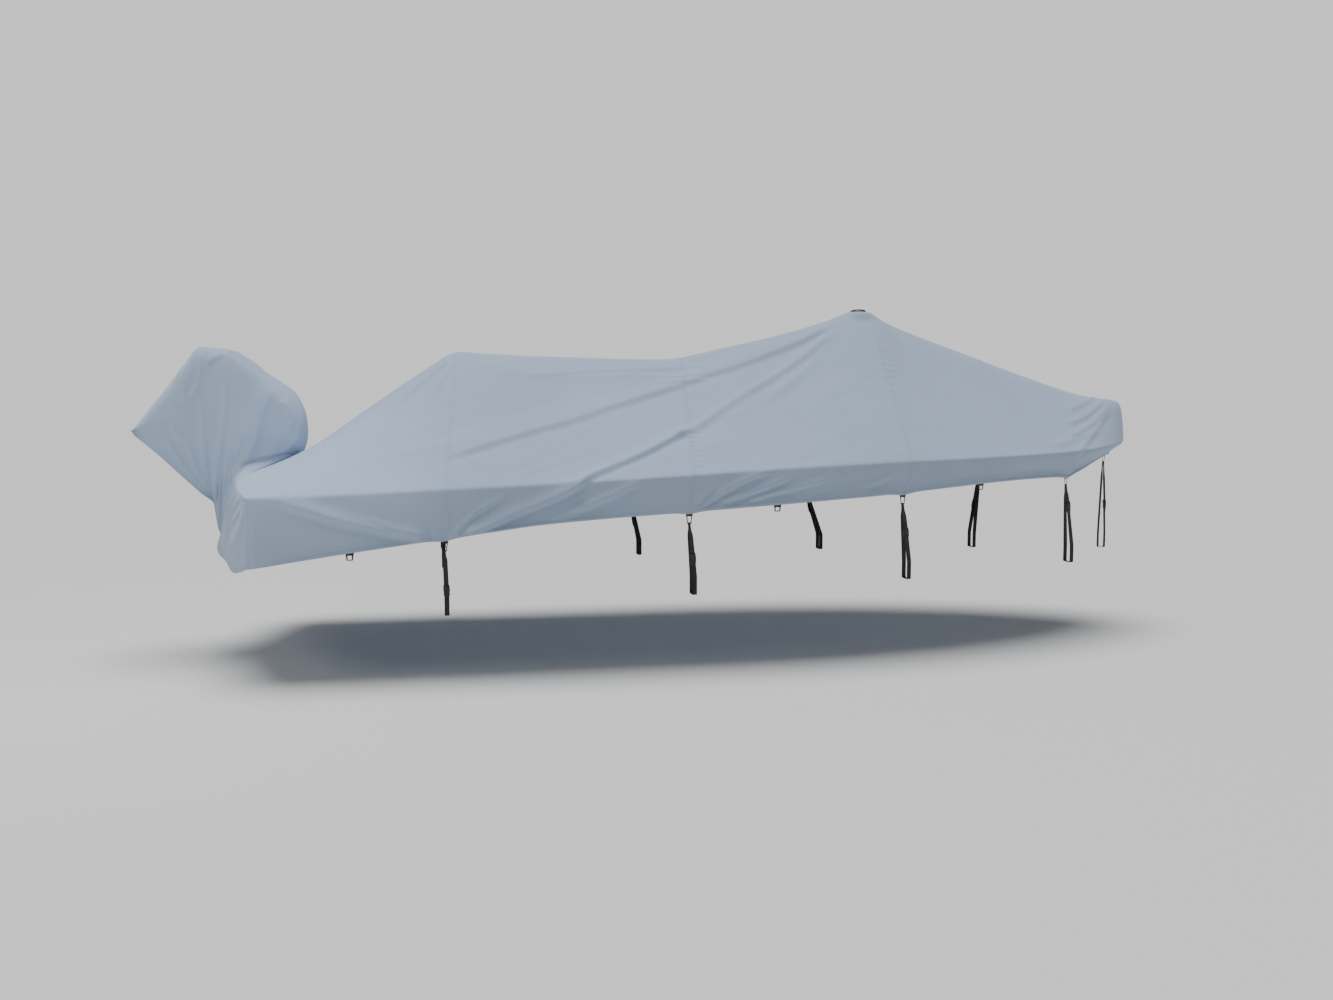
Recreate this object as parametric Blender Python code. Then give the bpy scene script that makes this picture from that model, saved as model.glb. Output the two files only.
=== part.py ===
"""A fitted boat cover with a hood for a tilted outboard motor, as it hangs when it is strapped down.

The boat, its motor and its trailer are left out, so the cover is hollow. Lengths are in metres. Stations
are measured forward from the stern corner (x), outward from the centre line (y, port is positive) and up
from the ground that the trailer stands on (z). The object's own origin is the top of the support pole.
"""

import math
from collections import namedtuple

import bmesh
import bpy
import numpy as np
from mathutils import Matrix, Vector

# ---------------------------------------------------------------------------------------------------
# Driving dimensions
# ---------------------------------------------------------------------------------------------------

CLOTH = 0.002            # thickness of the solid that stands for the coated canvas
HEM_CLOTH = 0.005        # thickness of the rolled hem with its rope
GAP = 0.0003             # gap that is kept between pieces that meet

COVER_LENGTH = 5.335     # stern corner to the foremost point of the gunwale
HALF_BEAM = 1.02         # widest half breadth of the covered hull
BEAM_STATION = 2.2       # where the hull is widest
STERN_TAPER = 0.035      # how much narrower each side is at the stern corner
BOW_FULLNESS = (2.6, 0.7)  # exponents of the bow's curve in plan

POLE_TOP = 1.980         # height of the support pole's top, under the cloth
PEAK_HEIGHT = POLE_TOP + CLOTH
PEAK_STATION = 3.525     # where the support pole stands
ORIGIN = np.array([PEAK_STATION, 0.0, POLE_TOP])

Point = namedtuple("Point", "x z")
RIDGE = (                # the cover's top on the centre line, from the stern to the bow
    Point(0.172, 1.092), Point(0.35, 1.211), Point(0.60, 1.410), Point(0.80, 1.555),
    Point(0.95, 1.655), Point(1.03, 1.703), Point(1.10, 1.718), Point(1.35, 1.706),
    Point(1.80, 1.690), Point(2.20, 1.682), Point(2.34, 1.688), Point(2.50, 1.717),
    Point(2.80, 1.785), Point(3.10, 1.858), Point(3.31, 1.921), Point(3.45, 1.972),
    Point(PEAK_STATION, PEAK_HEIGHT), Point(3.60, 1.975), Point(3.70, 1.921), Point(4.10, 1.774),
    Point(4.60, 1.598), Point(4.85, 1.515), Point(5.02, 1.463), Point(5.16, 1.426),
    Point(5.222, 1.404),
)
GUNWALE = (              # the edge where the top turns down into the skirt
    Point(0.0, 0.959), Point(0.5, 0.972), Point(1.0, 0.993), Point(1.5, 1.013), Point(2.0, 1.037),
    Point(2.6, 1.069), Point(3.25, 1.098), Point(4.0, 1.119), Point(4.6, 1.134), Point(4.95, 1.150),
    Point(5.2, 1.175), Point(COVER_LENGTH, 1.200),
)
HEM = (                  # the lower edge of the skirt
    Point(0.0, 0.600), Point(0.5, 0.673), Point(1.0, 0.738), Point(1.5, 0.802), Point(2.25, 0.853),
    Point(3.0, 0.899), Point(3.5, 0.931), Point(4.1, 0.974), Point(4.5, 0.984), Point(4.62, 0.983),
    Point(4.78, 1.012), Point(4.93, 1.057), Point(5.13, 1.096), Point(COVER_LENGTH, 1.096),
)
ROUNDING = (             # how far from the centre line the ridge is rounded, by station
    Point(0.2, 0.16), Point(1.05, 0.20), Point(1.7, 0.12), Point(2.3, 0.16), Point(3.1, 0.08),
    Point(PEAK_STATION, 0.07), Point(4.0, 0.08), Point(4.6, 0.12), Point(5.05, 0.20),
    Point(COVER_LENGTH, 0.16),
)
BELLY = (                # how far the cloth stands out (or, negative, sags in) between ridge and gunwale
    Point(0.0, 0.0), Point(1.0, -0.010), Point(1.7, -0.025), Point(2.3, -0.020), Point(3.0, -0.020),
    Point(3.5, -0.012), Point(4.2, -0.020), Point(4.8, 0.006), Point(5.1, 0.026),
    Point(COVER_LENGTH, 0.060),
)
TUCK = (                 # how far the hem lies inside the gunwale
    Point(0.0, 0.010), Point(3.5, 0.014), Point(4.6, 0.030), Point(5.1, 0.062), Point(COVER_LENGTH, 0.104),
)

Seam = namedtuple("Seam", "name ridge_x rail_x hem_x")
STERN_EDGE = Seam("stern edge", 0.172, 0.0, -0.005)
SEAM_A = Seam("aft seam", 1.070, 0.986, 0.971)
SEAM_B = Seam("middle seam", 2.400, 2.272, 2.245)
SEAM_C = Seam("fore seam", 3.592, 3.515, 3.467)
BOW_TIP = Seam("bow tip", 5.222, COVER_LENGTH, COVER_LENGTH)
STERN_BOW = 0.160        # how far the stern edge bows aft between the corner and the centre line
POLE_HEAD = 0.052        # radius of the flat that the pole's head presses up

CAP_RADIUS = 0.049
CAP_HEIGHT = 0.013
TOP_ROWS = np.concatenate(([0.0, POLE_HEAD / HALF_BEAM], np.linspace(0.13, 1.0, 11)))  # ridge to gunwale
SKIRT_ROWS = np.array([1.25, 1.5, 1.7, 1.85, 2.0])   # below the gunwale, to the hem
MEETING_ROW = 9          # the row of the stern edge where the motor hood leaves it

Fold = namedtuple("Fold", "side x0 up0 x1 up1 x2 up2 width depth")
FOLDS = (                # main folds, each through three places on the cloth; depth is outward
    Fold(-1, 1.06, -0.205, 1.80, 0.080, 3.42, 1.190, 0.070, 0.016),
    Fold(-1, 0.92, 0.205, 1.70, 0.549, 3.43, 1.219, 0.110, 0.012),
    Fold(-1, 0.14, -0.015, 0.46, -0.126, 0.82, -0.235, 0.045, 0.012),
    Fold(-1, 1.58, -0.155, 1.80, -0.080, 2.08, 0.010, 0.045, 0.010),
    Fold(-1, 2.28, -0.195, 2.55, -0.100, 2.86, -0.015, 0.050, 0.010),
    Fold(-1, 0.30, 0.250, 0.68, 0.620, 1.03, 1.100, 0.090, -0.010),
    Fold(-1, 4.64, -0.060, 4.80, 0.040, 5.20, 0.190, 0.045, 0.010),
    Fold(-1, 4.50, 0.060, 4.70, 0.160, 5.12, 0.300, 0.050, 0.009),
    Fold(1, 1.02, -0.220, 1.90, 0.110, 3.40, 1.150, 0.080, 0.014),
    Fold(1, 0.75, 0.120, 1.60, 0.480, 3.42, 1.215, 0.110, 0.011),
    Fold(1, 2.20, -0.200, 2.50, -0.110, 2.80, -0.030, 0.055, 0.010),
    Fold(1, 3.70, 1.000, 4.10, 0.520, 4.60, 0.100, 0.090, -0.010),
    Fold(1, 4.62, -0.070, 4.82, 0.060, 5.18, 0.210, 0.050, 0.010),
)

HoodRib = namedtuple("HoodRib", "rib crown_x crown_z shoulder_y drop waist_x waist_y waist_z")
HOOD_RIBS = (            # lines over the motor hood, from its mouth (0) to the stern edge's middle (22)
    HoodRib(0, -0.700, 1.278, 0.110, 0.003, -0.692, 0.170, 1.268),
    HoodRib(2, -0.600, 1.405, 0.165, 0.015, -0.595, 0.200, 1.270),
    HoodRib(4, -0.480, 1.558, 0.185, 0.030, -0.455, 0.210, 1.200),
    HoodRib(6, -0.345, 1.730, 0.190, 0.035, -0.345, 0.200, 1.100),
    HoodRib(7, -0.275, 1.727, 0.195, 0.035, -0.290, 0.185, 1.040),
    HoodRib(9, -0.175, 1.714, 0.200, 0.035, -0.235, 0.170, 0.960),
    HoodRib(11, -0.080, 1.652, 0.205, 0.040, -0.195, 0.185, 0.975),
    HoodRib(13, 0.000, 1.593, 0.205, 0.050, -0.155, 0.200, 1.035),
    HoodRib(15, 0.080, 1.541, 0.200, 0.060, -0.082, 0.190, 1.090),
    HoodRib(17, 0.155, 1.478, 0.190, 0.075, 0.015, 0.165, 1.120),
    HoodRib(19, 0.203, 1.365, 0.170, 0.080, 0.082, 0.125, 1.142),
    HoodRib(20, 0.207, 1.284, 0.130, 0.055, 0.116, 0.090, 1.144),
    HoodRib(21, 0.196, 1.190, 0.070, 0.022, 0.146, 0.045, 1.130),
    HoodRib(22, 0.172, 1.092, 0.000, 0.000, 0.172, 0.000, 1.092),
)
HOOD_MEETING = 13        # the rib that ends where the hood leaves the stern edge
LAST_RIB = 22
NECK_RIB = 9             # the rib that ends at the neck, on the transom panel
HoodFoot = namedtuple("HoodFoot", "rib x y z")
HOOD_FEET = (            # where the ribs end: on the mouth's hem up to the neck, then on the transom panel
    HoodFoot(0, -0.675, 0.190, 1.248), HoodFoot(2, -0.580, 0.206, 1.168),
    HoodFoot(4, -0.455, 0.205, 1.045), HoodFoot(6, -0.335, 0.180, 0.922),
    HoodFoot(7, -0.280, 0.145, 0.865), HoodFoot(8, -0.272, 0.130, 0.785),
    HoodFoot(9, -0.255, 0.130, 0.705), HoodFoot(10, -0.210, 0.210, 0.820),
    HoodFoot(11, -0.160, 0.340, 0.885), HoodFoot(12, -0.110, 0.520, 0.945),
)
HOOD_COLUMNS = 8         # facets from the crown to the foot of a rib

TRANSOM_MIDDLE = (-0.262, 0.0, 0.690)                # middle of the transom panel's free top edge
TransomFoot = namedtuple("TransomFoot", "y x z")
TRANSOM_HEM = (          # the transom panel's lower edge, from the centre line to the corner
    TransomFoot(0.0, -0.215, 0.536), TransomFoot(0.13, -0.208, 0.531), TransomFoot(0.45, -0.143, 0.522),
    TransomFoot(0.75, -0.057, 0.560),
)

Strap = namedtuple("Strap", "name side hem_x rail_x rail_y rail_z buckle_z")
STRAPS = (               # hem station, and the middle of the trailer rail's underside
    Strap("a_starboard", -1, 0.971, 0.980, -0.912, 0.334, 0.467),
    Strap("b_starboard", -1, 2.245, 2.297, -0.862, 0.394, 0.600),
    Strap("c_starboard", -1, 3.467, 3.580, -0.712, 0.422, 0.700),
    Strap("d_starboard", -1, 4.652, 4.755, -0.412, 0.449, 0.800),
    Strap("a_port", 1, 0.971, 0.985, 0.912, 0.334, 0.480),
    Strap("b_port", 1, 2.245, 2.290, 0.862, 0.394, 0.610),
    Strap("c_port", 1, 3.467, 3.520, 0.712, 0.422, 0.690),
    Strap("d_port", 1, 4.620, 4.500, 0.412, 0.449, 0.730),
    Strap("bow", 0, 5.270, 5.215, 0.0, 0.480, 0.760),
)
RAIL_WIDTH = 0.076       # the trailer rail that the straps loop round
RAIL_HEIGHT = 0.100
BOW_BAR_WIDTH = 0.044    # the narrower bar that the bow strap loops round
STRAP_WIDTH = 0.025
STRAP_CLOTH = 0.0018
SPARE_TABS = (0.50, 2.73, 3.98)
TAB_CLOTH = 0.002
TAB_WIDTH = 0.044        # width of a tab where it is sewn behind the hem
TAB_SEWN = 0.020         # how far up behind the hem it is sewn
TAB_HOLE = 0.020         # width of its loop at the hem
TAB_BAR = 0.005          # height of the loop's lower bar
BOW_TAB_DEPTH = 0.010    # how much further in the bow's tab sits, behind the pointed hem
BUCKLE = (0.034, 0.058, 0.0115)  # width, height and depth


# ---------------------------------------------------------------------------------------------------
# Curves
# ---------------------------------------------------------------------------------------------------

def smooth(t):
    """Smooth step from 0 to 1."""
    t = np.clip(t, 0.0, 1.0)
    return t * t * (3.0 - 2.0 * t)


def curve(points):
    """Monotone cubic through a table's points, as a function of the station."""
    xs = np.array([p[0] for p in points])
    ys = np.array([p[1] for p in points])
    step = np.diff(xs)
    slope = np.diff(ys) / step
    tangent = np.empty(len(xs))
    tangent[0], tangent[-1] = slope[0], slope[-1]
    for i in range(1, len(xs) - 1):
        before, after = slope[i - 1], slope[i]
        if before * after <= 0.0:
            tangent[i] = 0.0
        else:
            a = 2.0 * step[i] + step[i - 1]
            b = step[i] + 2.0 * step[i - 1]
            tangent[i] = (a + b) / (a / before + b / after)

    def value(x):
        x = np.clip(np.asarray(x, dtype=float), xs[0], xs[-1])
        i = np.clip(np.searchsorted(xs, x, side="right") - 1, 0, len(step) - 1)
        t = (x - xs[i]) / step[i]
        return (ys[i] * (1 + 2 * t) * (1 - t) ** 2 + tangent[i] * step[i] * t * (1 - t) ** 2
                + ys[i + 1] * t * t * (3 - 2 * t) + tangent[i + 1] * step[i] * t * t * (t - 1))

    return value


ridge_height = curve(RIDGE)
rail_height = curve(GUNWALE)
hem_height = curve(HEM)
ridge_rounding = curve(ROUNDING)
belly = curve(BELLY)
tuck = curve(TUCK)


def half_breadth(x):
    """Half the width of the covered hull at the gunwale."""
    x = np.asarray(x, dtype=float)
    aft = 1.0 - STERN_TAPER / HALF_BEAM * np.clip((BEAM_STATION - x) / BEAM_STATION, 0, 1) ** 2
    reach = np.clip((x - BEAM_STATION) / (COVER_LENGTH - BEAM_STATION), 0, 1)
    return HALF_BEAM * aft * (1.0 - reach ** BOW_FULLNESS[0]) ** BOW_FULLNESS[1]


def plan_normal(x):
    """Outward direction of the gunwale seen from above, on the port side."""
    small = 0.004
    lower = np.clip(x - small, 0.0, COVER_LENGTH - 2 * small)
    dy = half_breadth(lower + 2 * small) - half_breadth(lower)
    length = np.hypot(dy, 2 * small)
    nx, ny = -dy / length, 2 * small / length
    tip = smooth((x - (COVER_LENGTH - 3 * small)) / (3 * small))
    nx = nx + (1.0 - nx) * tip
    ny = ny * (1.0 - tip)
    length = np.hypot(nx, ny)
    return nx / length, ny / length


# ---------------------------------------------------------------------------------------------------
# The main cover's surface
# ---------------------------------------------------------------------------------------------------

def cover_base(ridge_x, rail_x, hem_x, w):
    """Points of the port half without folds: w is 0 at the ridge, 1 at the gunwale and 2 at the hem.

    Also gives, for each point, how far up the cloth it lies from the gunwale."""
    ridge_x, rail_x, hem_x, w = np.broadcast_arrays(ridge_x, rail_x, hem_x, w)
    breadth = half_breadth(rail_x)
    top, rail, hem = ridge_height(ridge_x), rail_height(rail_x), hem_height(hem_x)
    across = np.clip(w, 0.0, 1.0)
    down = np.clip(w - 1.0, 0.0, 1.0)

    softness = ridge_rounding(ridge_x) / np.maximum(breadth, 0.12)
    fall = (np.hypot(across, softness) - softness) / (np.hypot(1.0, softness) - softness)
    x = ridge_x + (rail_x - ridge_x) * across
    aft_share = np.clip(1.0 - (rail_x - STERN_EDGE.rail_x) / SEAM_A.rail_x, 0.0, 1.0) ** 2
    x = x - STERN_BOW * np.sin(math.pi * across) * aft_share
    y = breadth * across
    z = top + (rail - top) * fall

    nx, ny = plan_normal(rail_x)
    swell = belly(rail_x) * np.sin(math.pi * across ** 0.8)
    slope = np.arctan2(top - rail, np.maximum(breadth, 0.25))
    x = x + swell * nx * np.sin(slope)
    y = y + swell * ny * np.sin(slope)
    z = z + swell * np.cos(slope)

    inward = tuck(rail_x) * smooth(down)
    x = x - inward * nx + (hem_x - rail_x) * down
    y = y - inward * ny
    z = z + (hem - rail) * down

    distance = np.hypot(x - PEAK_STATION, y)
    pressed = 1.0 - smooth((distance - POLE_HEAD) / POLE_HEAD)
    z = np.where(across < 0.5, z + (PEAK_HEIGHT - z) * pressed, z)

    slant = np.hypot(top - rail, breadth)
    up = np.where(w < 1.0, (1.0 - across) * slant, -down * (rail - hem))
    return np.stack([x, y, z], axis=-1), up


def girth_line(s):
    """Stations of the line across the cover at s: 0 to 4, a whole number at each seam."""
    seams = (STERN_EDGE, SEAM_A, SEAM_B, SEAM_C, BOW_TIP)
    s = np.clip(np.asarray(s, dtype=float), 0.0, 4.0)
    panel = np.minimum(s.astype(int), 3)
    share = s - panel
    share = np.where(panel == 3, np.sin(share * math.pi / 2), share)
    table = np.array([[seam.ridge_x, seam.rail_x, seam.hem_x] for seam in seams])
    stations = table[panel] + (table[panel + 1] - table[panel]) * share[..., None]
    return stations[..., 0], stations[..., 1], stations[..., 2]


def fold_height(x, up, side):
    """How far the main folds raise the cloth at a station and a height up the cloth."""
    height = np.zeros(np.broadcast(x, up).shape)
    for fold in FOLDS:
        along = (x - fold.x0) / (fold.x2 - fold.x0)
        line = (fold.up0 * (x - fold.x1) * (x - fold.x2) / ((fold.x0 - fold.x1) * (fold.x0 - fold.x2))
                + fold.up1 * (x - fold.x0) * (x - fold.x2) / ((fold.x1 - fold.x0) * (fold.x1 - fold.x2))
                + fold.up2 * (x - fold.x0) * (x - fold.x1) / ((fold.x2 - fold.x0) * (fold.x2 - fold.x1)))
        steepness = math.hypot(fold.x2 - fold.x0, fold.up2 - fold.up0) / abs(fold.x2 - fold.x0)
        off = (up - line) / steepness
        ends = smooth(along / 0.15) * smooth((1.0 - along) / 0.15)
        bump = fold.depth * np.exp(-(off / fold.width) ** 2) * ends
        height = height + np.where(side == fold.side, bump, 0.0)
    return height


def cover_surface(s, w, side):
    """Points of the main cover, with its main folds; side is -1 for starboard and 1 for port."""
    s, w, side = np.broadcast_arrays(np.asarray(s, dtype=float), w, side)
    small = 0.002

    def base(s_at, w_at):
        points, up = cover_base(*girth_line(s_at), w_at)
        return points * np.stack([np.ones_like(side), side, np.ones_like(side)], axis=-1), up

    points, up = base(s, w)
    along = base(np.minimum(s + small, 4.0), w)[0] - base(np.maximum(s - small, 0.0), w)[0]
    across = base(s, np.minimum(w + small, 2.0))[0] - base(s, np.maximum(w - small, 0.0))[0]
    normal = np.cross(along, across)
    normal = normal * np.where(side < 0, -1.0, 1.0)[..., None]
    length = np.linalg.norm(normal, axis=-1, keepdims=True)
    normal = np.where(length > 1e-12, normal / np.maximum(length, 1e-12), 0.0)
    near_tip = smooth((4.0 - s) / 0.05)
    at_ridge = smooth(w / 0.12)
    height = fold_height(points[..., 0], up, side) * near_tip * at_ridge
    return points - normal * height[..., None]


# ---------------------------------------------------------------------------------------------------
# Making solids
# ---------------------------------------------------------------------------------------------------

def finish(name, mesh, coat, round_angle=None):
    """Put a mesh in the scene under its node's name, in the object's own frame."""
    obj = bpy.data.objects.new(name, mesh)
    bpy.context.scene.collection.objects.link(obj)
    mesh.materials.append(coat)
    if round_angle is not None:
        mesh.shade_smooth()
        mesh.set_sharp_from_angle(angle=math.radians(round_angle))
    return obj


def material(name, colour, roughness, metallic=0.0):
    """A plain finish; colour is linear."""
    made = bpy.data.materials.new(name)
    made.use_nodes = True
    shader = made.node_tree.nodes["Principled BSDF"]
    shader.inputs["Base Color"].default_value = (*colour, 1.0)
    shader.inputs["Roughness"].default_value = roughness
    shader.inputs["Metallic"].default_value = metallic
    return made


def sheet_solid(name, grid, coat, inside, joined, thickness):
    """A closed solid under a grid of surface points.

    inside is a point on the hidden side. joined is 1 at the grid's points that meet another piece: there
    the edge draws back by half the gap, and its hidden side by the cloth's thickness more. Where it is 2
    the edge draws back twice as far. thickness is given for each point."""
    rows, columns = grid.shape[:2]
    sheet = bmesh.new()
    grid = grid - ORIGIN
    inside = Vector(np.array(inside) - ORIGIN)
    tag = sheet.verts.layers.float.new("thickness")
    meets = sheet.verts.layers.int.new("meets")
    corner = [[sheet.verts.new(grid[i, j]) for j in range(columns)] for i in range(rows)]
    for i in range(rows):
        for j in range(columns):
            corner[i][j][tag] = thickness[i, j]
            corner[i][j][meets] = int(joined[i, j])
    for i in range(rows - 1):
        for j in range(columns - 1):
            a, b, c, d = corner[i][j], corner[i + 1][j], corner[i + 1][j + 1], corner[i][j + 1]
            if (a.co - c.co).length < (b.co - d.co).length:
                sheet.faces.new((a, b, c))
                sheet.faces.new((a, c, d))
            else:
                sheet.faces.new((a, b, d))
                sheet.faces.new((b, c, d))
    bmesh.ops.remove_doubles(sheet, verts=sheet.verts, dist=1e-5)
    sheet.normal_update()
    outward = sum(f.normal.dot(f.calc_center_median() - inside) * f.calc_area() for f in sheet.faces)
    if outward < 0.0:
        bmesh.ops.reverse_faces(sheet, faces=sheet.faces)
        sheet.normal_update()

    draw_back = {vert: Vector() for vert in sheet.verts}
    for edge in sheet.edges:
        if edge.is_boundary and all(vert[meets] for vert in edge.verts):
            face = edge.link_faces[0]
            into = face.normal.cross(edge.verts[1].co - edge.verts[0].co).normalized()
            middle = (edge.verts[0].co + edge.verts[1].co) / 2
            into *= math.copysign(1.0, into.dot(face.calc_center_median() - middle))
            for vert in edge.verts:
                draw_back[vert] += into
    outer, inner = {}, {}
    solid = bmesh.new()
    for vert in sheet.verts:
        back = draw_back[vert]
        if back.length > 1.1:                        # two joined edges meet here: keep clear of both
            back *= min(2.0 / back.length_squared, 1.5)
        back *= max(vert[meets], 1)
        top = vert.co + back * (GAP * 0.6)
        under = vert.co - vert.normal * vert[tag] + back * (GAP * 0.6 + 1.2 * vert[tag])
        outer[vert] = solid.verts.new(top)
        inner[vert] = solid.verts.new(under)
    for face in sheet.faces:
        solid.faces.new([outer[v] for v in face.verts])
        solid.faces.new([inner[v] for v in reversed(face.verts)])
    for edge in sheet.edges:
        if edge.is_boundary:
            first, second = edge.link_loops[0].vert, edge.link_loops[0].link_loop_next.vert
            solid.faces.new((outer[second], outer[first], inner[first], inner[second]))
    bmesh.ops.triangulate(solid, faces=[f for f in solid.faces if len(f.verts) == 4])
    mesh = bpy.data.meshes.new(name)
    solid.to_mesh(mesh)
    solid.free()
    sheet.free()
    return finish(name, mesh, coat, 50)


def strip_solid(name, centres, across, widths, thickness, coat):
    """A flat band along a path: across gives the direction of its width at each point."""
    centres = np.array(centres) - ORIGIN
    across = np.array(across)
    along = np.gradient(centres, axis=0)
    along /= np.linalg.norm(along, axis=1, keepdims=True)
    across = across - along * (across * along).sum(axis=1, keepdims=True)
    across /= np.linalg.norm(across, axis=1, keepdims=True)
    lift = np.cross(along, across)
    band = bmesh.new()
    rings = []
    for centre, side, up, width in zip(centres, across, lift, widths):
        corners = ((-1, -1), (1, -1), (1, 1), (-1, 1))
        rings.append([band.verts.new(centre + side * (i * width / 2) + up * (j * thickness / 2))
                      for i, j in corners])
    for first, second in zip(rings, rings[1:]):
        for k in range(4):
            band.faces.new((first[k], first[(k + 1) % 4], second[(k + 1) % 4], second[k]))
    band.faces.new(reversed(rings[0]))
    band.faces.new(rings[-1])
    bmesh.ops.recalc_face_normals(band, faces=band.faces)
    bmesh.ops.triangulate(band, faces=band.faces)
    mesh = bpy.data.meshes.new(name)
    band.to_mesh(mesh)
    band.free()
    return finish(name, mesh, coat, 30)


def plate_with_hole(name, outline, hole, place, thickness, coat):
    """A flat plate between an outline and a hole of as many points, laid in a frame of its own."""
    plate = bmesh.new()
    sides = []
    for height in (-thickness / 2, thickness / 2):
        rim = [plate.verts.new((x, y, height)) for x, y in outline]
        edge = [plate.verts.new((x, y, height)) for x, y in hole]
        sides.append((rim, edge))
    count = len(outline)
    (low_rim, low_edge), (high_rim, high_edge) = sides
    for k in range(count):
        n = (k + 1) % count
        plate.faces.new((low_rim[k], low_rim[n], low_edge[n], low_edge[k]))
        plate.faces.new((high_rim[k], high_edge[k], high_edge[n], high_rim[n]))
        plate.faces.new((low_rim[k], high_rim[k], high_rim[n], low_rim[n]))
        plate.faces.new((low_edge[k], low_edge[n], high_edge[n], high_edge[k]))
    bmesh.ops.recalc_face_normals(plate, faces=plate.faces)
    bmesh.ops.triangulate(plate, faces=plate.faces)
    plate.transform(Matrix.Translation(-Vector(ORIGIN)) @ place)
    mesh = bpy.data.meshes.new(name)
    plate.to_mesh(mesh)
    plate.free()
    return finish(name, mesh, coat, 30)


# ---------------------------------------------------------------------------------------------------
# Main panels
# ---------------------------------------------------------------------------------------------------

def girth_rows():
    """Rows from the starboard hem over the ridge to the port hem: w and side of each."""
    half = np.concatenate([TOP_ROWS, SKIRT_ROWS])
    w = np.concatenate([half[::-1], half[1:]])
    side = np.concatenate([-np.ones(len(half)), np.ones(len(half) - 1)])
    return w, side


def panel_columns(number):
    """Where the lines across a panel lie, as shares of its length."""
    if number == 0:
        return np.linspace(0.0, 1.0, 11)
    if number == 1:
        return np.linspace(0.0, 1.0, 13)
    if number == 2:
        near_pole = [(PEAK_STATION + shift - SEAM_B.ridge_x) / (SEAM_C.ridge_x - SEAM_B.ridge_x)
                     for shift in (-POLE_HEAD, 0.0, POLE_HEAD)]
        return np.concatenate([np.linspace(0.0, 0.83, 10), near_pole, [1.0]])
    return np.linspace(0.0, 1.0, 18)


def add_panel(name, number, coat):
    """One panel of the main cover, from hem to hem."""
    w, side = girth_rows()
    s = number + panel_columns(number)
    grid = cover_surface(s[None, :], w[:, None], side[:, None])
    rows, columns = grid.shape[:2]
    joined = np.zeros((rows, columns), dtype=bool)
    joined[:, 0] = True
    joined[:, -1] = number < 3
    thickness = np.full((rows, columns), CLOTH)
    thickness[0, :] = HEM_CLOTH
    thickness[-1, :] = HEM_CLOTH
    inside = grid.reshape(-1, 3).mean(axis=0)
    inside[1] = 0.0
    inside[2] = 0.9
    return sheet_solid(name, grid, coat, inside, joined, thickness)


# ---------------------------------------------------------------------------------------------------
# Motor hood
# ---------------------------------------------------------------------------------------------------

def rib_column(field):
    """One column of the hood's table as a smooth function of the rib number."""
    return curve([(row.rib, getattr(row, field)) for row in HOOD_RIBS])


def hood_foot(rib):
    """Where a rib ends, on the starboard side."""
    rib = np.asarray(rib, dtype=float)
    last = TOP_ROWS[MEETING_ROW]
    meeting = cover_surface(0.0, last, -1.0)
    tables = []
    for axis, field in enumerate(("x", "y", "z")):
        rows = [(row.rib, getattr(row, field)) for row in HOOD_FEET]
        rows.append((HOOD_MEETING, abs(meeting[axis])))
        if axis == 0:
            rows[-1] = (HOOD_MEETING, meeting[0])
        tables.append(curve(rows)(rib))
    free = np.stack([tables[0], -tables[1], tables[2]], axis=-1)
    w = np.interp(LAST_RIB - rib, np.arange(len(TOP_ROWS)), TOP_ROWS)
    edge = cover_surface(np.zeros_like(rib), w, -np.ones_like(rib))
    return np.where((rib < HOOD_MEETING)[..., None], free, edge)


def hood_surface(rib, t, side):
    """Points of the hood: t is 0 on the crown and 1 at the foot of the rib."""
    rib, t, side = np.broadcast_arrays(np.asarray(rib, dtype=float), t, side)
    value = {field: rib_column(field)(rib) for field in HoodRib._fields[1:]}
    zero = np.zeros_like(rib)
    crown = np.stack([value["crown_x"], zero, value["crown_z"]], axis=-1)
    shoulder = crown + np.stack([zero, -value["shoulder_y"], -value["drop"]], axis=-1)
    waist = np.stack([value["waist_x"], -value["waist_y"], value["waist_z"]], axis=-1)
    flank = (shoulder + waist) / 2
    flank[..., 1] = np.minimum(shoulder[..., 1], waist[..., 1]) * 1.06
    foot = hood_foot(rib)
    opposite = shoulder * np.array([1.0, -1.0, 1.0])
    beyond = 2 * foot - waist
    knots = [opposite, crown, shoulder, flank, waist, foot, beyond]
    place = np.clip(t, 0.0, 1.0) * 4.0
    span = np.minimum(place.astype(int), 3)
    f = (place - span)[..., None]
    p0, p1, p2, p3 = (np.choose(span[..., None], [knots[k + shift] for k in range(4)])
                      for shift in range(4))
    point = 0.5 * (2 * p1 + (p2 - p0) * f + (2 * p0 - 5 * p1 + 4 * p2 - p3) * f ** 2
                   + (3 * p1 - p0 - 3 * p2 + p3) * f ** 3)
    return point * np.stack([np.ones_like(side), -side, np.ones_like(side)], axis=-1)


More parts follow.
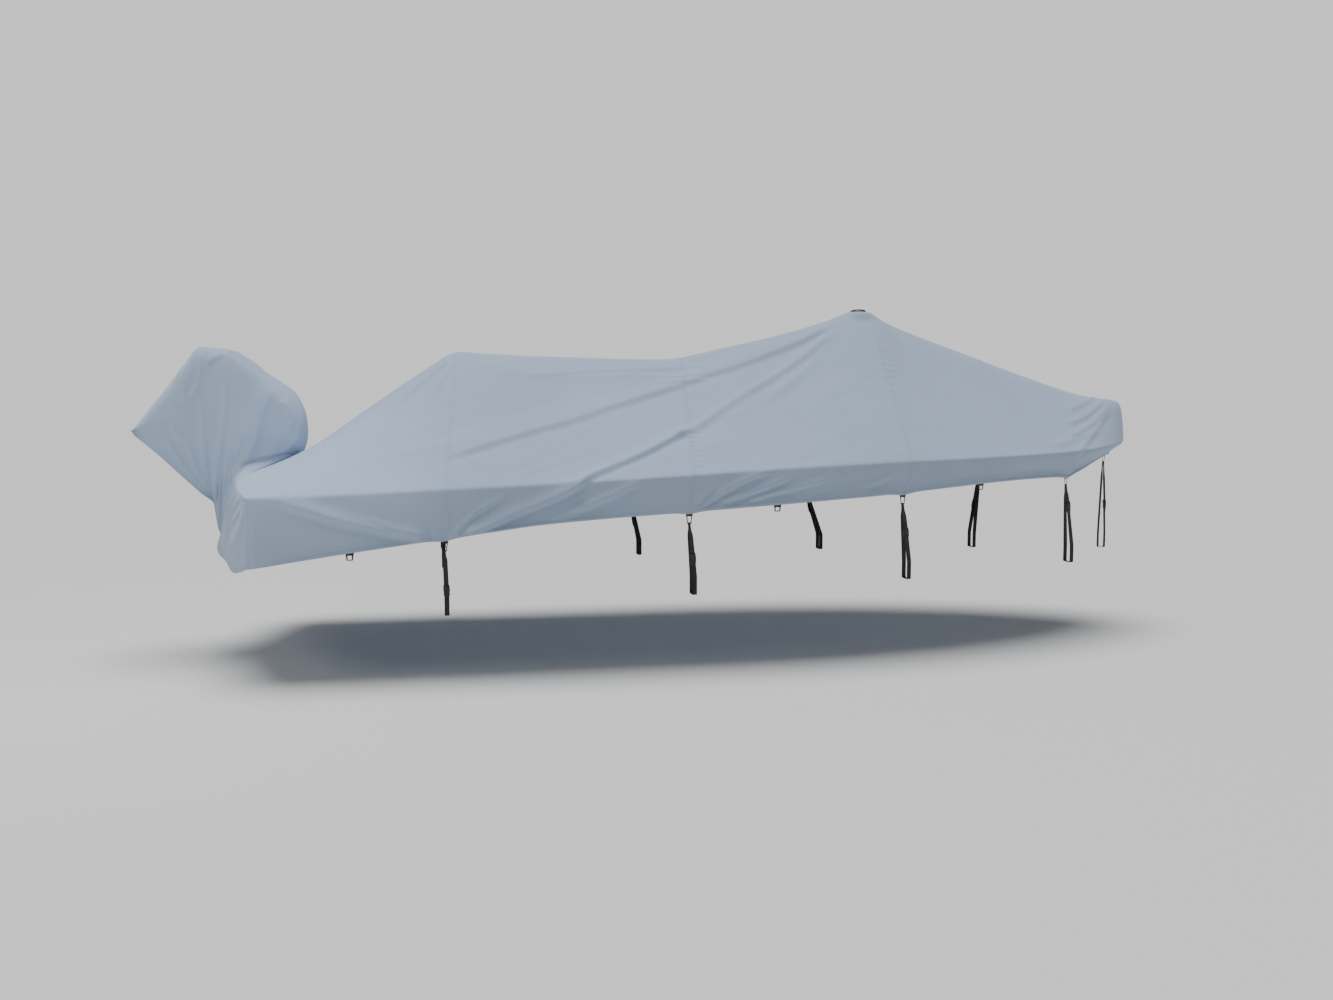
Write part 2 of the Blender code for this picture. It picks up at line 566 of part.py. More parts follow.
def add_hood(coat):
    """The hood over the tilted motor, open below and aft."""
    ribs = np.arange(LAST_RIB + 1, dtype=float)
    half = np.linspace(0.0, 1.0, HOOD_COLUMNS + 1)
    t = np.concatenate([half[::-1], half[1:]])
    side = np.concatenate([-np.ones(len(half)), np.ones(len(half) - 1)])
    grid = hood_surface(ribs[:, None], t[None, :], side[None, :])
    joined = np.zeros(grid.shape[:2], dtype=int)
    joined[NECK_RIB:, 0] = 1
    joined[NECK_RIB:, -1] = 1
    joined[HOOD_MEETING - 1:HOOD_MEETING + 4, 0] = 2     # three pieces meet in a flat angle here
    joined[HOOD_MEETING - 1:HOOD_MEETING + 4, -1] = 2
    thickness = np.full(grid.shape[:2], CLOTH)
    thickness[0, :] = HEM_CLOTH
    thickness[:NECK_RIB, 0] = HEM_CLOTH
    thickness[:NECK_RIB, -1] = HEM_CLOTH
    return sheet_solid("motor_hood", grid, coat, (-0.15, 0.0, 1.30), joined, thickness)


# ---------------------------------------------------------------------------------------------------
# Transom panel
# ---------------------------------------------------------------------------------------------------

def transom_surface(across, down, side):
    """Points of the transom panel: across is 0 at the corner, 1 at the neck and 2 on the centre line."""
    across, down, side = np.broadcast_arrays(np.asarray(across, dtype=float), down, side)
    steps = len(TOP_ROWS) - 1 - MEETING_ROW          # rows of the stern edge between corner and hood
    total = steps + HOOD_MEETING - NECK_RIB
    place = np.clip(across, 0.0, 1.0) * total
    w = np.interp(len(TOP_ROWS) - 1 - place, np.arange(len(TOP_ROWS)), TOP_ROWS)
    edge = cover_surface(np.zeros_like(w), w, -np.ones_like(w))
    hooded = hood_foot(np.clip(HOOD_MEETING - (place - steps), NECK_RIB, HOOD_MEETING))
    top = np.where((place <= steps)[..., None], edge, hooded)
    neck = hood_foot(np.full_like(w, NECK_RIB))
    middle = np.array(TRANSOM_MIDDLE)
    beyond = np.clip(across - 1.0, 0.0, 1.0)[..., None]
    top = np.where((across > 1.0)[..., None], neck + (middle - neck) * beyond, top)

    corner_rows = cover_surface(np.zeros_like(w), 1.0 + down, -np.ones_like(w))
    corner = cover_surface(0.0, 2.0, -1.0)
    rows = [(row.y, row.x, row.z) for row in TRANSOM_HEM] + [(-corner[1], corner[0], corner[2])]
    hem_y = -top[..., 1] * (corner[1] / cover_surface(0.0, 1.0, -1.0)[1])
    hem = np.stack([curve([(r[0], r[1]) for r in rows])(hem_y), -hem_y,
                    curve([(r[0], r[2]) for r in rows])(hem_y)], axis=-1)
    away = smooth(across / 0.3)
    point = top + (hem - top) * down[..., None]
    slack = 0.047 * away * np.sin(math.pi * np.clip(down, 0, 1) ** 1.5) ** 0.8
    point[..., 0] -= slack
    return np.where((across <= 0.0)[..., None], corner_rows, point) * np.stack(
        [np.ones_like(side), -side, np.ones_like(side)], axis=-1)


def add_transom(coat):
    """The panel that closes the stern under the hood."""
    steps = len(TOP_ROWS) - 1 - MEETING_ROW + HOOD_MEETING - NECK_RIB
    half = np.concatenate([np.arange(steps + 1) / steps, [1.5, 2.0]])
    across = np.concatenate([half, half[-2::-1]])
    side = np.concatenate([-np.ones(len(half)), np.ones(len(half) - 1)])
    down = np.concatenate([[0.0], SKIRT_ROWS - 1.0])
    grid = transom_surface(across[None, :], down[:, None], side[None, :])
    joined = np.zeros(grid.shape[:2], dtype=bool)
    joined[0, :steps + 1] = True
    joined[0, -steps - 1:] = True
    joined[:, 0] = True
    joined[:, -1] = True
    thickness = np.full(grid.shape[:2], CLOTH)
    thickness[-1, :] = HEM_CLOTH
    return sheet_solid("transom_panel", grid, coat, (1.0, 0.0, 0.8), joined, thickness)


# ---------------------------------------------------------------------------------------------------
# Pole cap, straps, buckles and tabs
# ---------------------------------------------------------------------------------------------------

def add_cap(coat):
    """The cap on the peak: a low dome with a rolled rim, turned about the pole's axis."""
    profile = [(0.0, 0.0), (CAP_RADIUS - 0.002, 0.0), (CAP_RADIUS, 0.002), (CAP_RADIUS, 0.006),
               (CAP_RADIUS - 0.003, 0.009)]
    for k in range(1, 5):
        angle = math.pi / 2 * k / 4
        radius = (CAP_RADIUS - 0.003) * math.cos(angle)
        profile.append((radius, 0.009 + (CAP_HEIGHT - 0.009) * math.sin(angle)))
    cap = bmesh.new()
    verts = [cap.verts.new((r, 0.0, z)) for r, z in profile]
    edges = [cap.edges.new(pair) for pair in zip(verts, verts[1:])]
    bmesh.ops.spin(cap, geom=verts + edges, cent=(0, 0, 0), axis=(0, 0, 1), angle=2 * math.pi, steps=28,
                   use_merge=True)
    bmesh.ops.remove_doubles(cap, verts=cap.verts, dist=1e-6)
    bmesh.ops.recalc_face_normals(cap, faces=cap.faces)
    bmesh.ops.triangulate(cap, faces=cap.faces)
    bmesh.ops.translate(cap, verts=cap.verts, vec=(0.0, 0.0, CLOTH + GAP))
    mesh = bpy.data.meshes.new("pole_cap")
    cap.to_mesh(mesh)
    cap.free()
    finish("pole_cap", mesh, coat, 40)


def hem_frame(hem_x, side):
    """The hem's outer edge at a station: the point, its forward tangent and its outward direction."""
    if side == 0:
        return cover_surface(4.0, 2.0, 1.0), np.array([0.0, 1.0, 0.0]), np.array([1.0, 0.0, 0.0])
    s = np.concatenate([number + panel_columns(number) for number in range(4)])
    line = cover_surface(s, 2.0, float(side))
    x = hem_x + np.array([-0.5, 0.5]) * TAB_WIDTH
    ends = np.stack([x] + [np.interp(x, line[:, 0], line[:, k]) for k in (1, 2)], axis=-1)
    tangent = ends[1] - ends[0]
    tangent /= np.linalg.norm(tangent)
    outward = np.cross(tangent, (0.0, 0.0, 1.0)) * -side
    return ends.mean(axis=0), tangent, outward / np.linalg.norm(outward)


def squared(angle):
    """A point of a squarish half round."""
    c, s = math.cos(angle), math.sin(angle)
    return math.copysign(abs(c) ** 0.3, c), abs(s) ** 0.3


def add_tab(name, hem_x, side, foot, height, hole_foot, coat):
    """A webbing loop behind the hem; returns the middle of its lower bar and its frame."""
    point, tangent, outward = hem_frame(hem_x, side)
    down = np.array([0.0, 0.0, -1.0])
    behind = HEM_CLOTH + (BOW_TAB_DEPTH if side == 0 else 0.0) + GAP + TAB_CLOTH / 2 + 0.0003
    centre = point - outward * behind
    place = Matrix((tangent, down, np.cross(tangent, down))).transposed().to_4x4()
    place.translation = Vector(centre)
    wide, narrow = TAB_WIDTH / 2, TAB_HOLE / 2
    outline = [(-wide, -TAB_SEWN), (wide, -TAB_SEWN), (wide, 0.0)]
    hole = [(-narrow, 0.006), (narrow, 0.006), (narrow, 0.010)]
    bend = 6
    for k in range(bend + 1):
        across, below = squared(math.pi * k / bend)
        start = height * 0.7
        outline.append((foot / 2 * across, start + (height - start) * below))
        hole.append((hole_foot / 2 * across, start - 0.002 + (height - start + 0.002 - TAB_BAR) * below))
    outline.append((-wide, 0.0))
    hole.append((-narrow, 0.010))
    plate_with_hole(name, outline, hole, place, TAB_CLOTH, coat)
    bar = centre + down * (height - TAB_BAR / 2)
    return bar, tangent, outward


def strap_path(bar, tangent, outward, strap, rail_out):
    """The band's middle line: from the buckle down round the rail, up and over the tab to the buckle."""
    rail = np.array([strap.rail_x, strap.rail_y, strap.rail_z])
    half = (RAIL_WIDTH if strap.side else BOW_BAR_WIDTH) / 2 + STRAP_CLOTH / 2
    up = np.array([0.0, 0.0, 1.0])
    lift = up * (STRAP_CLOTH / 2)
    low_out = rail + rail_out * half - lift
    low_in = rail - rail_out * half - lift
    high_out = rail + rail_out * half + up * RAIL_HEIGHT
    high_in = rail - rail_out * half + up * RAIL_HEIGHT
    over = 0.0040
    share = (strap.buckle_z - high_out[2]) / (bar[2] - high_out[2])
    outer_bar = bar + outward * over
    inner_bar = bar - outward * over
    at_buckle = high_out + (outer_bar - high_out) * share
    line = (outer_bar - high_out) / np.linalg.norm(outer_bar - high_out)
    along_rail = np.cross(rail_out, up)
    along_rail *= math.copysign(1.0, along_rail @ tangent)
    flat = along_rail * (1 - share) + tangent * share
    aside = np.cross(line, flat)
    aside *= math.copysign(1.0, aside @ rail_out) / np.linalg.norm(aside)
    tail = min(0.045, strap.buckle_z - high_out[2] - 0.002)
    inner_end = at_buckle + line * 0.020
    outer_end = at_buckle - line * tail + aside * (STRAP_CLOTH + 0.0005)
    corner = 0.006
    path = [inner_end, at_buckle - line * 0.035]
    path += [high_out, low_out + up * corner, low_out - rail_out * 0.3 * corner + up * 0.3 * corner,
             low_out - rail_out * corner]
    path += [low_in + rail_out * corner, low_in + rail_out * 0.3 * corner + up * 0.3 * corner,
             low_in + up * corner, high_in]
    path += [inner_bar + (high_in - inner_bar) * 0.3, inner_bar - up * 0.004]
    for k in range(5):
        angle = math.pi * k / 4
        path.append(bar + outward * (-over * math.cos(angle)) + up * (0.0008 + over * math.sin(angle)))
    path += [outer_bar - up * 0.006]
    path += [at_buckle + line * 0.034 + aside * (STRAP_CLOTH + 0.0005), outer_end]
    path = np.array(path)
    near_tab = np.clip((path[:, 2] - high_out[2]) / (bar[2] - high_out[2]), 0.0, 1.0)
    across = along_rail[None] * (1 - near_tab[:, None]) + tangent[None] * near_tab[:, None]
    return path, across, near_tab, at_buckle, line, aside


def add_strap(strap, webbing, plastic):
    """A tab, its tie-down strap and the buckle on the strap's outer strand."""
    rail_out = np.array([0.0, strap.side, 0.0]) if strap.side else np.array([1.0, 0.0, 0.0])
    bar, tangent, outward = add_tab(
        "tab_" + strap.name, strap.hem_x, strap.side, 0.026, 0.062, 0.016, webbing)
    path, across, near_tab, at_buckle, line, aside = strap_path(bar, tangent, outward, strap, rail_out)
    widths = STRAP_WIDTH + (0.013 - STRAP_WIDTH) * smooth((near_tab - 0.75) / 0.2)
    strip_solid("strap_" + strap.name, path, across, widths, STRAP_CLOTH, webbing)
    share = (strap.buckle_z - strap.rail_z - RAIL_HEIGHT) / (bar[2] - strap.rail_z - RAIL_HEIGHT)
    flat = np.cross(rail_out, (0.0, 0.0, 1.0))
    flat *= math.copysign(1.0, flat @ tangent)
    flat = flat * (1 - share) + tangent * share
    flat -= line * (flat @ line)
    flat /= np.linalg.norm(flat)
    face = np.cross(flat, line)
    face *= math.copysign(1.0, face @ aside)
    centre = at_buckle + face * (STRAP_CLOTH + 0.0005) / 2
    width, height, depth = BUCKLE
    slot = (STRAP_WIDTH + 0.0014, 2 * STRAP_CLOTH + 0.0020)
    place = Matrix((flat, face, np.cross(flat, face))).transposed().to_4x4()
    place.translation = Vector(centre)
    outline = rounded_box(width, depth, 0.003)
    hole = rounded_box(slot[0], slot[1], 0.0004)
    plate_with_hole("buckle_" + strap.name, outline, hole, place, height, plastic)


def rounded_box(width, height, radius):
    """Outline of a rectangle with corners cut by two facets."""
    points = []
    for cx, cy, start in ((1, 1, 0.0), (-1, 1, 0.5), (-1, -1, 1.0), (1, -1, 1.5)):
        for k in range(3):
            angle = math.pi * (start + k / 4)
            points.append((cx * (width / 2 - radius) + radius * math.cos(angle),
                           cy * (height / 2 - radius) + radius * math.sin(angle)))
    return points


def main():
    for obj in list(bpy.data.objects):
        bpy.data.objects.remove(obj)
    canvas = material("coated canvas", (0.396, 0.451, 0.521), 0.78)
    webbing = material("black webbing", (0.012, 0.012, 0.013), 0.85)
    plastic = material("black plastic", (0.010, 0.010, 0.011), 0.45)
    for number, name in enumerate(("stern_panel", "aft_panel", "fore_panel", "bow_panel")):
        add_panel(name, number, canvas)
    add_hood(canvas)
    add_transom(canvas)
    add_cap(plastic)
    for strap in STRAPS:
        add_strap(strap, webbing, plastic)
    for side, end in ((-1, "starboard"), (1, "port")):
        for count, hem_x in enumerate(SPARE_TABS, start=1):
            add_tab(f"spare_tab_{count}_{end}", hem_x, side, 0.034, 0.036, 0.020, webbing)


main()
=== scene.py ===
import math
from collections import namedtuple

import bmesh
import bpy
import numpy as np
from mathutils import Matrix, Vector


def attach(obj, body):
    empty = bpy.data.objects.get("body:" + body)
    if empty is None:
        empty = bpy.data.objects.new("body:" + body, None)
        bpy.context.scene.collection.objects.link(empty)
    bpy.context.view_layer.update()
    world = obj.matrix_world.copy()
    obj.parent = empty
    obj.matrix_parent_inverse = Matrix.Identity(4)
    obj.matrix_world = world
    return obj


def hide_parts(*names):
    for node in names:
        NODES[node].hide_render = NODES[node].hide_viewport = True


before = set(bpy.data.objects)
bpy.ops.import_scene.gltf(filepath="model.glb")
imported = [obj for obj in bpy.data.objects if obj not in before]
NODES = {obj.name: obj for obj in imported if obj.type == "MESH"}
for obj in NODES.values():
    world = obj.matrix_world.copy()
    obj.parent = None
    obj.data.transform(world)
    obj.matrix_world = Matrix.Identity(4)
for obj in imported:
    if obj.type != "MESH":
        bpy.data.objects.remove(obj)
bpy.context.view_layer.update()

bl_info = {
    "name": "Boat cover",
    "version": (1, 0, 0),
    "blender": (4, 5, 0),
    "location": "View3D > Sidebar > Cover",
    "description": "A fitted canvas boat cover with a motor hood, tie-down straps and buckles",
    "category": "Object",
}

# ---- Sizes, in metres ----
# Stations are measured forward from the stern corner, outward from the centre line and up from the
# ground; the origin is the top of the support pole.

POLE_TOP = 1.980
CLOTH = 0.002            # the frame's cloth, which the pole's head lies under
PEAK_HEIGHT = POLE_TOP + CLOTH
PEAK_STATION = 3.525
ORIGIN = np.array([PEAK_STATION, 0.0, POLE_TOP])
UP = np.array([0.0, 0.0, 1.0])
COVER_LENGTH = 5.335
HALF_BEAM = 1.02
BEAM_STATION = 2.2
STERN_TAPER = 0.035      # how much narrower the cover is at the stern corner
BOW_FULLNESS = (2.6, 0.7)
STERN_BOW = 0.160        # how far the stern edge bows aft between its middle and its corner
COVER_INSIDE = np.array([2.6, 0.0, 0.9])         # a point under it, to tell which way is out
POLE_HEAD = 0.052        # radius of the flat over the pole

# Station and height of the top, on the centre line.
RIDGE = (
    (0.172, 1.092), (0.35, 1.211), (0.60, 1.410), (0.80, 1.555), (0.95, 1.655), (1.03, 1.703),
    (1.10, 1.718), (1.35, 1.706), (1.80, 1.690), (2.20, 1.682), (2.34, 1.688), (2.50, 1.717),
    (2.80, 1.785), (3.10, 1.858), (3.31, 1.921), (3.45, 1.972), (PEAK_STATION, PEAK_HEIGHT),
    (3.60, 1.975), (3.70, 1.921), (4.10, 1.774), (4.60, 1.598), (4.85, 1.515), (5.02, 1.463),
    (5.16, 1.426), (5.222, 1.404),
)
# Station and height of the edge where the top turns down.
GUNWALE = (
    (0.0, 0.959), (0.5, 0.972), (1.0, 0.993), (1.5, 1.013), (2.0, 1.037), (2.6, 1.069),
    (3.25, 1.098), (4.0, 1.119), (4.6, 1.134), (4.95, 1.150), (5.2, 1.175),
    (COVER_LENGTH, 1.200),
)
# Station and height of the skirt's lower edge.
HEM = (
    (0.0, 0.600), (0.5, 0.673), (1.0, 0.738), (1.5, 0.802), (2.25, 0.853), (3.0, 0.899),
    (3.5, 0.931), (4.1, 0.974), (4.5, 0.984), (4.62, 0.983), (4.78, 1.012), (4.93, 1.057),
    (5.13, 1.096), (COVER_LENGTH, 1.096),
)
# Station and how far out the ridge is rounded.
ROUNDING = (
    (0.2, 0.16), (1.05, 0.20), (1.7, 0.12), (2.3, 0.16), (3.1, 0.08), (PEAK_STATION, 0.07),
    (4.0, 0.08), (4.6, 0.12), (5.05, 0.20), (COVER_LENGTH, 0.16),
)
# Station and how far the cloth stands out between ridge and gunwale.
BELLY = (
    (0.0, 0.0), (1.0, -0.010), (1.7, -0.025), (2.3, -0.020), (3.0, -0.020), (3.5, -0.012),
    (4.2, -0.020), (4.8, 0.006), (5.1, 0.026), (COVER_LENGTH, 0.060),
)
# Station and how far the hem lies inside the gunwale.
TUCK = (
    (0.0, 0.010), (3.5, 0.014), (4.6, 0.030), (5.1, 0.062), (COVER_LENGTH, 0.104),
)
# Where each seam crosses the ridge, the gunwale and the hem.
SEAMS = ((0.172, 0.0, -0.005), (1.070, 0.986, 0.971), (2.400, 2.272, 2.245), (3.592, 3.515, 3.467),
         (5.222, COVER_LENGTH, COVER_LENGTH))

PANELS = ("stern", "aft", "fore", "bow")
PANEL_COLUMNS = (98, 124, 118, 138)      # mesh cells along each panel
TOP_CELLS = 120                          # mesh cells from the ridge to the gunwale
SKIRT_CELLS = 38

# Above and below are a fold's widths on its two sides, start and end its fading lengths.
Fold = namedtuple("Fold", "side above below height hollow start end places")
# Folds of the main cover; places are station and height up the cloth.
STARBOARD_FOLDS = (
    (.040, .013, .0250, .005, .05, .08, (1.06, -.235, 1.145, -.219, 1.308, -.152, 1.499, -.086,
         1.654, -.019, 1.735, .042)),
    (.050, .014, .0210, .003, .08, .10, (1.670, -.008, 1.735, .042, 2.01, .190, 2.267, .361,
         2.330, .392)),
    (.036, .024, .0120, .004, .10, .25, (2.20, .330, 2.345, .400, 2.60, .606, 2.986, .871, 3.42,
         1.190)),
    (.090, .022, .0120, .004, .20, .25, (.927, .208, 1.169, .302, 1.45, .438, 1.70, .549, 1.96,
         .673, 2.455, .872, 2.744, .966, 3.434, 1.219)),
    (.042, .018, .0290, .005, .10, .08, (.12, -.008, .156, -.017, .456, -.126, .795, -.223, .90,
         -.245)),
    (.050, .045, -.0070, .000, .10, .20, (.30, -.020, .55, -.085, .85, -.165)),
    (.040, .050, .0050, .000, .15, .15, (.22, -.130, .45, -.200, .70, -.262)),
    (.018, .016, .0060, .002, .03, .08, (.945, -.240, .880, -.190, .780, -.130)),
    (.014, .014, .0050, .002, .03, .08, (.955, -.235, .905, -.165, .845, -.090)),
    (.016, .010, .0100, .004, .04, .10, (1.02, -.235, 1.051, -.204, 1.152, -.116, 1.225, -.078,
         1.304, -.038)),
    (.014, .010, .0050, .002, .03, .10, (.985, -.230, 1.00, -.140, 1.03, -.080)),
    (.014, .010, .0070, .003, .10, .05, (.558, -.106, .727, -.179, .90, -.233)),
    (.022, .014, .0110, .003, .08, .16, (1.603, -.153, 1.82, -.080, 2.048, .008)),
    (.024, .020, .0060, .003, .08, .16, (1.48, -.185, 1.70, -.125, 1.95, -.060)),
    (.018, .011, .0120, .004, .05, .20, (2.303, -.173, 2.404, -.113, 2.564, -.037, 2.738, -.006)),
    (.020, .012, .0130, .004, .06, .20, (2.400, -.160, 2.653, -.092, 2.871, -.018)),
    (.018, .012, .0100, .003, .08, .25, (2.543, -.163, 2.722, -.123, 2.989, -.074, 3.135, -.029)),
    (.015, .010, .0080, .003, .04, .12, (2.268, -.165, 2.366, -.079, 2.417, -.027)),
    (.018, .014, .0060, .002, .10, .12, (3.201, -.142, 3.350, -.085, 3.435, -.044)),
    (.030, .026, .0040, .001, .15, .25, (2.85, -.120, 3.10, -.060, 3.40, -.010)),
    (.012, .012, .0070, .002, .03, .05, (3.497, -.148, 3.508, -.090, 3.530, -.037)),
    (.013, .013, .0035, .002, .03, .05, (3.475, -.120, 3.475, -.075, 3.490, -.030)),
    (.026, .020, .0075, .003, .08, .12, (4.654, -.068, 4.793, .034, 5.006, .127, 5.210, .180)),
    (.024, .018, .0065, .003, .06, .10, (4.684, .111, 4.917, .150, 5.182, .200)),
    (.022, .016, .0060, .003, .06, .10, (4.74, .205, 4.95, .215, 5.18, .245)),
    (.022, .016, .0055, .002, .06, .10, (4.80, .300, 4.98, .300, 5.17, .310)),
    (.030, .022, .0050, .002, .10, .10, (4.50, .060, 4.72, .085, 4.98, .110)),
    (.020, .016, .0045, .002, .03, .12, (4.645, -.120, 4.76, -.050, 4.92, .020)),
    (.050, .040, -.0080, .000, .10, .20, (1.060, 1.090, .983, 1.026, .890, .881, .818, .695)),
    (.030, .016, .0070, .003, .08, .20, (1.040, 1.080, .913, .993, .796, .844, .735, .736)),
    (.026, .016, .0060, .003, .08, .20, (1.050, 1.060, .952, .788, .888, .575)),
    (.030, .022, .0045, .002, .10, .20, (1.030, 1.110, .780, .840, .430, .600)),
    (.040, .030, .0040, .001, .20, .25, (.30, .235, .75, .300, 1.30, .360)),
    (.028, .018, .0040, .002, .10, .15, (2.129, 1.048, 2.35, 1.020, 2.606, .980)),
    (.030, .018, .0045, .002, .20, .20, (1.449, .933, 1.659, .984, 1.893, 1.016, 2.211, 1.012,
         2.414, .969)),
    (.024, .016, .0035, .002, .10, .15, (2.114, .940, 2.34, .915, 2.58, .895)),
    (.024, .016, .0035, .002, .10, .15, (2.114, .880, 2.34, .860, 2.573, .840)),
    (.050, .040, .0050, .001, .25, .30, (1.25, .980, 1.75, .950, 2.30, 1.000)),
    (.045, .030, .0060, .003, .15, .25, (3.40, 1.150, 3.00, .760, 2.72, .540)),
    (.060, .040, .0050, .002, .10, .35, (3.62, 1.160, 3.80, .950, 4.05, .800)),
    (.050, .040, .0045, .002, .10, .35, (3.60, 1.120, 3.68, .850, 3.74, .620)),
)
PORT_FOLDS = (
    (.080, .028, .0170, .006, .06, .25, (1.02, -.235, 1.50, -.090, 1.90, .110, 2.60, .560, 3.40,
         1.170)),
    (.110, .050, .0100, .003, .20, .25, (.75, .120, 1.60, .480, 2.50, .860, 3.42, 1.215)),
    (.030, .026, .0120, .003, .10, .12, (.14, -.020, .45, -.115, .86, -.230)),
    (.022, .018, .0080, .003, .04, .12, (.985, -.235, 1.13, -.130, 1.32, -.030)),
    (.018, .016, .0055, .002, .04, .10, (.955, -.235, .88, -.150, .78, -.070)),
    (.026, .020, .0080, .003, .06, .20, (2.26, -.195, 2.50, -.110, 2.82, -.020)),
    (.024, .020, .0060, .003, .06, .18, (2.20, -.190, 2.05, -.120, 1.84, -.040)),
    (.024, .020, .0060, .002, .06, .18, (3.49, -.150, 3.66, -.100, 3.92, -.030)),
    (.040, .030, .0060, .002, .10, .25, (3.44, -.140, 3.26, -.080, 3.02, -.015)),
    (.028, .020, .0075, .003, .08, .12, (4.62, -.090, 4.82, .060, 5.02, .140, 5.19, .210)),
    (.024, .018, .0060, .003, .06, .10, (4.70, .140, 4.92, .180, 5.17, .240)),
    (.024, .018, .0050, .003, .06, .10, (4.78, .260, 4.98, .280, 5.17, .300)),
    (.090, .060, -.0080, .000, .20, .30, (3.66, 1.050, 4.10, .520, 4.60, .100)),
    (.060, .050, -.0070, .000, .15, .20, (1.073, 1.080, .90, .850, .700, .450)),
    (.035, .028, .0050, .002, .10, .25, (1.050, 1.080, .80, .820, .450, .560)),
    (.045, .030, .0055, .003, .15, .25, (3.40, 1.150, 3.05, .800, 2.75, .560)),
)
FOLDS = [Fold(-1, *row) for row in STARBOARD_FOLDS]
FOLDS += [Fold(1, *row) for row in PORT_FOLDS]
Fan = namedtuple("Fan", "side x up folds reach height turn")
# Small folds that run together at a point of the cover.
FANS = [Fan(*row) for row in (
    (-1, .971, -.262, 17, .20, .0024, .3), (-1, 2.245, -.200, 15, .15, .0018, 1.1),
    (-1, 3.467, -.168, 15, .12, .0018, 2.0), (-1, 4.652, -.130, 13, .13, .0020, .7),
    (1, .971, -.262, 16, .19, .0022, 1.3), (1, 2.245, -.200, 15, .15, .0018, .1),
    (1, 3.467, -.168, 14, .12, .0017, 1.0), (1, 4.620, -.130, 13, .13, .0019, 2.7),
    (-1, PEAK_STATION, 1.300, 26, .42, .0020, .4), (1, PEAK_STATION, 1.300, 25, .42, .0020, 1.4),
    (-1, 1.075, 1.170, 24, .30, .0022, .9), (1, 1.075, 1.170, 23, .30, .0022, 1.9),
)]
Pucker = namedtuple("Pucker", "seam side low high spacing height fore aft")
# Gathers along the seams between two heights up the cloth.
PUCKERS = [Pucker(*row) for row in (
    (2, -1, .03, .42, .041, .0034, .075, .014), (2, -1, .42, .75, .046, .0010, .060, .030),
    (2, -1, -.19, -.04, .033, .0014, .110, .018), (3, -1, .38, .95, .060, .0014, .120, .018),
    (3, -1, .02, .38, .050, .0007, .070, .020), (1, -1, .20, 1.00, .070, .0006, .060, .030),
    (2, 1, .03, .55, .043, .0018, .085, .020), (3, 1, .20, .90, .058, .0012, .100, .020),
    (1, 1, .20, 1.00, .068, .0007, .060, .030), (2, 1, -.19, -.04, .034, .0012, .100, .018),
)]

PULL_SLOPES = (0.46, -0.40)              # slope of the cloth's pull to the peak, aft and forward
FELL_WIDTH = 0.016       # the felled seam's width and how far it stands up
FELL_HEIGHT = 0.0005
HEM_BAND = 0.018         # height of the sewn hem with its rope
HEM_ROPE = 0.0034        # how far the rope stands out, and its radius with the cloth round it
ROPE_RADIUS = 0.0065
HEM_DENT = 0.0008        # depth of the sewn line at the top of the hem
HEM_FLARE = 0.010        # how far the hem stands out, and how high up that begins
FLARE_REACH = 0.055
CORNER_CUT = 0.010       # how far the stern corner is drawn in, and how near to it that begins
CORNER_REACH = 0.050
STRAP_PULL = 0.010       # how far a strap draws the hem down, and how wide and high that goes
PULL_WIDTH = 0.055
PULL_REACH = 0.16
SHEET_BACK = 0.0011      # thickness of the canvas that is shown
TONGUE_DROP = 0.0016     # how far a panel's tongue lies under the next panel
CREST_POWER = 1.7        # a fold's crest is a little sharper than a bell curve's 2
LINE_POINTS = 40         # points along a fold's line
NOISE_LATTICE = (97, 89)
FAR = 1e9

HoodRib = namedtuple("HoodRib", "rib crown_x crown_z shoulder_y drop waist_x waist_y waist_z")
# Lines over the motor hood, from its mouth (0) to the stern edge's middle (22).
HOOD_RIBS = [HoodRib(*row) for row in (
    (0, -0.700, 1.278, 0.110, 0.003, -0.692, 0.170, 1.268),
    (2, -0.600, 1.405, 0.165, 0.015, -0.595, 0.200, 1.270),
    (4, -0.480, 1.558, 0.185, 0.030, -0.455, 0.210, 1.200),
    (5.7, -0.365, 1.704, 0.189, 0.034, -0.362, 0.202, 1.115),
    (6, -0.345, 1.730, 0.190, 0.035, -0.345, 0.200, 1.100),
    (7, -0.275, 1.727, 0.195, 0.035, -0.290, 0.185, 1.040),
    (9, -0.175, 1.714, 0.200, 0.035, -0.235, 0.170, 0.960),
    (9.3, -0.161, 1.705, 0.201, 0.036, -0.229, 0.172, 0.962),
    (11, -0.080, 1.652, 0.205, 0.040, -0.195, 0.185, 0.975),
    (13, 0.000, 1.593, 0.205, 0.050, -0.155, 0.200, 1.035),
    (15, 0.080, 1.541, 0.200, 0.060, -0.082, 0.190, 1.090),
    (17, 0.155, 1.478, 0.190, 0.075, 0.036, 0.168, 1.112),
    (19, 0.203, 1.365, 0.170, 0.080, 0.112, 0.130, 1.130),
    (20, 0.207, 1.284, 0.130, 0.055, 0.143, 0.095, 1.132),
    (21, 0.196, 1.190, 0.070, 0.022, 0.162, 0.048, 1.122),
    (22, 0.172, 1.092, 0.000, 0.000, 0.172, 0.000, 1.092),
)]
